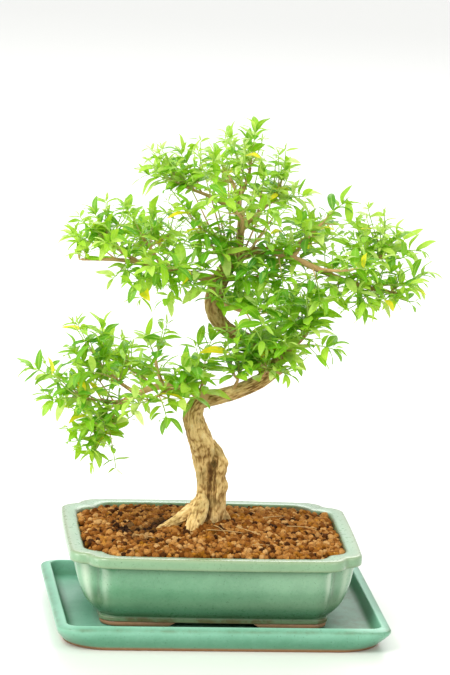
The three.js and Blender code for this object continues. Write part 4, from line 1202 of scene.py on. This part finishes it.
# Clumps of finer shoots: the tier, the limbs they spring from, the middle and half sizes of the space
# their tips fill, how many, the size of their leaves and their mean tone, dark to light, which is partly
# painted shade: clumps low down and inside the crown are darker.
clumps = [
    ("low_left", (0, 1, 2), (-102, -4, 170), (36, 34, 24), 22, 0.95, 0.32),
    ("low_left", (0, 1), (-88, -14, 156), (26, 20, 18), 10, 0.9, 0.38),
    ("low_left", (0, 4, 5), (-28, -20, 179), (22, 20, 15), 15, 1.2, 0.3),
    ("low_left", (2, 3, 5), (-66, 6, 189), (28, 26, 13), 13, 1.0, 0.28),
    ("low_left", (1,), (-94, -18, 138), (17, 16, 19), 11, 0.9, 0.4),
    ("low_left", (0, 3), (-66, 30, 180), (22, 20, 12), 7, 0.95, 0.45),
    ("high_left", (6, 7, 8), (-80, 0, 283), (34, 30, 16), 26, 0.85, 0.45),
    ("high_left", (6, 8), (-98, -6, 281), (20, 18, 12), 7, 0.85, 0.6),
    ("high_left", (7, 9), (-42, 12, 285), (22, 26, 16), 14, 0.85, 0.45),
    ("high_left", (6, 10), (-28, -20, 256), (22, 20, 13), 13, 1.15, 0.3),
    ("high_left", (6,), (-60, -16, 254), (22, 12, 9), 7, 1.0, 0.5),
    ("crown", (16, 17, 18, 19), (-8, 6, 331), (38, 30, 20), 19, 0.75, 0.5),
    ("crown", (17,), (-44, -2, 330), (20, 16, 11), 9, 0.8, 0.6),
    ("crown", (17, 21, 20), (-20, -16, 304), (28, 24, 18), 12, 0.85, 0.45),
    ("crown", (21, 17, 20), (-14, -16, 278), (26, 18, 15), 13, 1.0, 0.3),
    ("crown", (18, 20, 19), (24, -4, 304), (28, 30, 19), 12, 0.85, 0.4),
    ("crown", (16,), (12, 0, 350), (14, 10, 9), 6, 0.75, 0.75),
    ("right", (11, 12, 14), (58, 0, 282), (30, 30, 15), 22, 0.9, 0.35),
    ("right", (11, 12, 20), (30, -14, 274), (18, 16, 12), 9, 1.0, 0.3),
    ("right", (11, 13, 15), (102, -4, 267), (32, 30, 17), 26, 0.9, 0.4),
    ("right", (11, 13), (126, -6, 248), (20, 20, 15), 12, 0.9, 0.5),
    ("right", (11, 15), (86, -22, 240), (30, 18, 13), 13, 0.95, 0.55),
    ("middle", (22, 23, 24, 25), (36, -14, 228), (30, 26, 26), 36, 1.2, 0.47),
    ("middle", (24, 22), (50, -12, 250), (20, 20, 13), 9, 1.15, 0.4),
    ("middle", (22, 27, 28), (38, -12, 198), (28, 18, 13), 14, 1.15, 0.5),
    ("middle", (22, 23, 24), (18, -18, 262), (14, 8, 10), 8, 1.0, 0.3),
    ("middle", (23, 24), (-4, -14, 247), (18, 14, 10), 9, 1.05, 0.3),
    ("middle", (26, 28), (-8, -8, 195), (16, 12, 12), 6, 1.0, 0.35),
    ("low_left", (3,), (-72, 42, 186), (16, 15, 10), 5, 0.9, 0.4),
    ("low_left", (4,), (-60, -46, 172), (15, 14, 10), 5, 0.9, 0.45),
    ("high_left", (9,), (-52, 46, 276), (16, 14, 10), 6, 0.85, 0.45),
    ("high_left", (10,), (-50, -44, 270), (14, 12, 9), 5, 0.85, 0.45),
    ("crown", (19,), (0, 42, 326), (18, 14, 12), 7, 0.8, 0.5),
    ("crown", (20,), (2, -42, 314), (16, 13, 10), 5, 0.8, 0.5),
    ("right", (14,), (70, 42, 282), (18, 15, 11), 7, 0.9, 0.4),
    ("right", (15,), (88, -48, 268), (15, 13, 9), 5, 0.9, 0.45),
    ("middle", (25,), (50, 36, 222), (16, 14, 12), 7, 0.95, 0.35),
    ("middle", (22, 27, 28), (12, -16, 205), (18, 9, 12), 11, 1.15, 0.3),
    ("right", (12, 13), (103, -4, 283), (20, 16, 13), 11, 0.95, 0.5),
    ("right", (13,), (104, 0, 298), (10, 8, 8), 4, 0.8, 0.7),
    ("crown", (18, 19), (40, -2, 322), (12, 12, 12), 5, 0.75, 0.7),
    ("high_left", (7, 8), (-80, 4, 300), (16, 12, 6), 6, 0.9, 0.6),
    ("crown", (17,), (-52, -2, 338), (11, 10, 6), 4, 0.85, 0.65),
    ("crown", (18, 19), (38, -2, 338), (9, 9, 6), 4, 0.75, 0.65),
    ("low_left", (2,), (-101, 4, 212), (9, 9, 7), 4, 1.0, 0.35),
    ("low_left", (3, 5), (-44, 0, 212), (10, 9, 6), 3, 1.1, 0.35),
]
# How a clump fills: the share of its count that is grown, the tries for each tip and how near the
# middle it may lie, then how a root is chosen, of which the stray is the random part, and the bow.
foliage = {
    "seed": 11, "share": 0.66, "tries": 8, "shell": 0.15, "rootsFrom": 0.08, "rootSpots": 40,
    "least": 9, "below": 5, "dear": 1.5, "stray": 10, "curve": 0.16, "sway": 0.5, "toneSpread": 0.2,
}
# Upright stems that spread from the trunk's top, with leaves on their upper part only.
fan = {
    "roots": (6, -4, 263), "spread": 0.14, "lift": 3, "base": 0.85, "leafyFrom": 0.7,
    "size": 0.7, "tone": 0.6,
    "tips": [
        (-52, -8, 328), (-38, -14, 336), (-24, -16, 344), (-4, -12, 352), (10, -14, 346),
        (22, -12, 340), (36, -10, 330), (48, -8, 318), (-44, -18, 308), (40, -18, 304),
        (-14, -20, 322),
    ],
}
# Hanging shoots: the tier, the root, the tip, the size of the leaves and their tone.
hanging = {
    "bend": (0, -3, 4), "base": 0.5, "rise": 1.3,
    "shoots": [
        ("low_left", (-82, -18, 146), (-75, -20, 114), 0.85, 0.35),
        ("low_left", (-86, -18, 138), (-92, -21, 118), 1.0, 0.7),
        ("high_left", (-56, -12, 258), (-61, -16, 238), 1.05, 0.5),
        ("right", (92, -12, 250), (99, -18, 228), 1.0, 0.8),
    ],
}


# Points on a limb's route, without its radii.
def onRoute(route, places):
    return routePoints([row[:3] for row in route], places)


# The finer shoots of a clump: tips spread through its space, each the farthest from all others of
# several random spots, joined to the nearest part of its limbs, where parts above the tip count as
# farther, by a bow that sags and turns up at the tip.
def growClump(clump, rng, tips):
    _, numbers, centre, half, count, size, tone = clump
    rootPlaces = np.linspace(foliage["rootsFrom"], 1, foliage["rootSpots"])
    roots = np.concatenate([onRoute(limbs[k][1], rootPlaces) for k in numbers])
    stems, leaves = [], []
    for _ in range(round(count * foliage["share"])):
        reach = np.cbrt(rng.uniform(foliage["shell"], 1, (foliage["tries"], 1)))
        spots = unit(rng.normal(size=(foliage["tries"], 3))) * reach * half + centre
        apart = np.linalg.norm(spots[:, None] - np.array(tips), axis=-1).min(1)
        tip = spots[apart.argmax()]
        tips.append(tip)
        away = np.linalg.norm(roots - tip, axis=1)
        height = np.maximum(roots[:, 2] - tip[2] + foliage["below"], 0)
        cost = np.maximum(away, foliage["least"]) + foliage["dear"] * height
        root = roots[(cost + rng.uniform(0, foliage["stray"], len(roots))).argmin()]
        reach = np.linalg.norm(tip - root)
        sway = rng.uniform(-foliage["sway"], foliage["sway"], 2)
        sag = np.append(sway, -1.0) * foliage["curve"] * reach
        bow = (root, (root + tip) / 2 + sag, tip)
        stems.append(stemPath(bow, shoot["base"]))
        shade = tone + rng.uniform(-foliage["toneSpread"], foliage["toneSpread"])
        leaves += growPairs(bow, int(rng.integers(100000)), size, shade)
    return stems, leaves


tiers, tips, number = {}, [], 0
for tier, route, shoots in limbs:
    group = tiers.setdefault(tier, {"leaves": [], "stems": [], "nodes": []})
    for start, *tip in shoots:
        number += 1
        group["nodes"].append(f"shoot_{tier}_{len(group['nodes']) + 1:02d}")
        tips.append(np.array(tip, float))
        shade = between(*shoot["tone"], drawsFrom(number)())
        root = onRoute(route, [start])[0]
        stems, leaves, bow, shares = growSolidShoot(root, tips[-1], 100 * number, shade)
        group["stems"] += stems
        group["leaves"] += leaves + growPairs(bow, 7 * number, fresh["size"], shade, shares)
rng = np.random.default_rng(foliage["seed"])
for clump in clumps:
    stems, leaves = growClump(clump, rng, tips)
    tiers[clump[0]]["stems"] += stems
    tiers[clump[0]]["leaves"] += leaves
for seed, tip in enumerate(np.array(fan["tips"], float)):
    root = np.array(fan["roots"]) + (tip - fan["roots"]) * [fan["spread"], fan["spread"], 0]
    bow = (root, (root + tip) / 2 + [0, 0, fan["lift"]], tip)
    upper = (bowSpot(bow, fan["leafyFrom"]), bowSpot(bow, (1 + fan["leafyFrom"]) / 2), tip)
    tiers["crown"]["stems"].append(stemPath(bow, fan["base"]))
    tiers["crown"]["leaves"] += growPairs(upper, 31 * seed + 5, fan["size"], fan["tone"])
for seed, (tier, root, tip, size, tone) in enumerate(hanging["shoots"]):
    root, tip = np.array([root, tip], float)
    bow = (root, (root + tip) / 2 + hanging["bend"], tip)
    tiers[tier]["stems"].append(stemPath(bow, hanging["base"]))
    tiers[tier]["leaves"] += growPairs(bow, 47 * seed + 9, size, tone, (), hanging["rise"])

around = shoot["around"]
leafLooks = [leafMaterial(), stemMaterial()]
for seed, (tier, group) in enumerate(tiers.items()):
    blades, bladeFaces, bladeNumbers, ages = leafBlades(np.array(group["leaves"]), seed)
    tubes = [closedTube(tubeRings(path, radii, around)) for path, radii, _ in group["stems"]]
    woody = [np.append(np.repeat(part, around), part[[0, -1]]) for _, _, part in group["stems"]]
    stemPoints, stemFaces = merged(tubes)
    points, faces = merged([(blades, [bladeFaces]), (stemPoints, stemFaces)])
    slots = np.append(np.zeros(len(bladeFaces)), np.ones(sum(map(len, stemFaces))))
    numbers = {
        "leafPlace": np.concatenate([bladeNumbers, np.zeros((len(stemPoints), 3))]),
        "leafAge": np.concatenate([ages, *woody]),
    }
    piece = makePiece(f"leaves_{tier}", points, faces, leafLooks, slots, numbers)
    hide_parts(*group["nodes"])
    print(tier, len(group["leaves"]), "leaves")


# Floor, light and camera

# The stage and its lights are in metres. A light has its place, width and power.
stage = {
    # The near colour is painted shade on the front part of the floor.
    "half": 7.0, "floor": paint(249, 250, 246), "near": paint(214, 219, 207),
    "shadeSweep": (-0.35, 0.25), "world": 0.9, "aim": (0, 0, 0.15),
}
lights = {
    "keyLight": ((-1.3, -1.4, 1.9), 1.2, 55), "fillLight": ((1.7, -1.6, 1.1), 1.6, 18),
    "sideLight": ((-1.9, -0.35, 0.45), 0.9, 14), "rimLight": ((0.5, 1.8, 1.6), 1.4, 26),
}
view = {
    "azimuth": -6.4, "pitch": 11.6, "roll": 2.25, "distance": 3489, "aim": (2.3, 0, 206.6),
    "lens": 258.7, "sensor": 36, "farthest": 50,
}


# A matrix whose columns are the directions right, up and back, and the place.
def lookMatrix(right, up, back, place):
    table = np.eye(4)
    table[:3] = np.stack([right, up, back, place], -1)
    return Matrix(table.tolist())


# A square soft light at a place, aimed at the plant's middle.
def softLight(name, place, size, power):
    lamp = bpy.data.lights.new(name, "AREA")
    lamp.size, lamp.energy = size, power
    holder = bpy.data.objects.new(name, lamp)
    back = unit(np.array(place) - stage["aim"])
    right = unit(np.cross([0, 0, 1], back))
    holder.matrix_world = lookMatrix(right, np.cross(back, right), back, place)
    bpy.context.scene.collection.objects.link(holder)


half = stage["half"]
corners = [(-half, -half, 0), (half, -half, 0), (half, half, 0), (-half, half, 0)]
floorMesh = bpy.data.meshes.new("floor")
floorMesh.from_pydata(corners, [], [(0, 1, 2, 3)])
floor = bpy.data.objects.new("floor", floorMesh)
bpy.context.scene.collection.objects.link(floor)
material, tree, shader, place = startMaterial("paleFloor")
# Painted shade: the floor darkens towards the front, to the near colour.
shadeSweep = ranged(tree, coordinate(tree, place, 1), stage["shadeSweep"])
feed(tree, shader, {
    "Base Color": mixed(tree, shadeSweep, stage["near"], stage["floor"]),
    "Roughness": 0.22, "Specular IOR Level": 0.5,
})
floorMesh.materials.append(material)

world = bpy.data.worlds.new("softWhite")
world.use_nodes = True
background = world.node_tree.nodes["Background"]
feed(world.node_tree, background, {"Color": (1, 1, 1, 1), "Strength": stage["world"]})
bpy.context.scene.world = world
for name, light in lights.items():
    softLight(name, *light)

azimuth, pitch, roll = (math.radians(view[key]) for key in ("azimuth", "pitch", "roll"))
flat = math.cos(pitch)
back = np.array([math.sin(azimuth) * flat, -math.cos(azimuth) * flat, math.sin(pitch)])
level = unit(np.cross(-back, [0, 0, 1]))
above = np.cross(level, -back)
right = math.cos(roll) * level + math.sin(roll) * above
up = -math.sin(roll) * level + math.cos(roll) * above
lens = bpy.data.cameras.new("photoView")
lens.lens, lens.sensor_width, lens.clip_end = view["lens"], view["sensor"], view["farthest"]
photoView = bpy.data.objects.new("photoView", lens)
spot = np.array(view["aim"]) / 1000 + back * view["distance"] / 1000
photoView.matrix_world = lookMatrix(right, up, back, spot)
bpy.context.scene.collection.objects.link(photoView)
bpy.context.scene.camera = photoView
bpy.context.scene.view_settings.view_transform = "Standard"
print("scene ready")
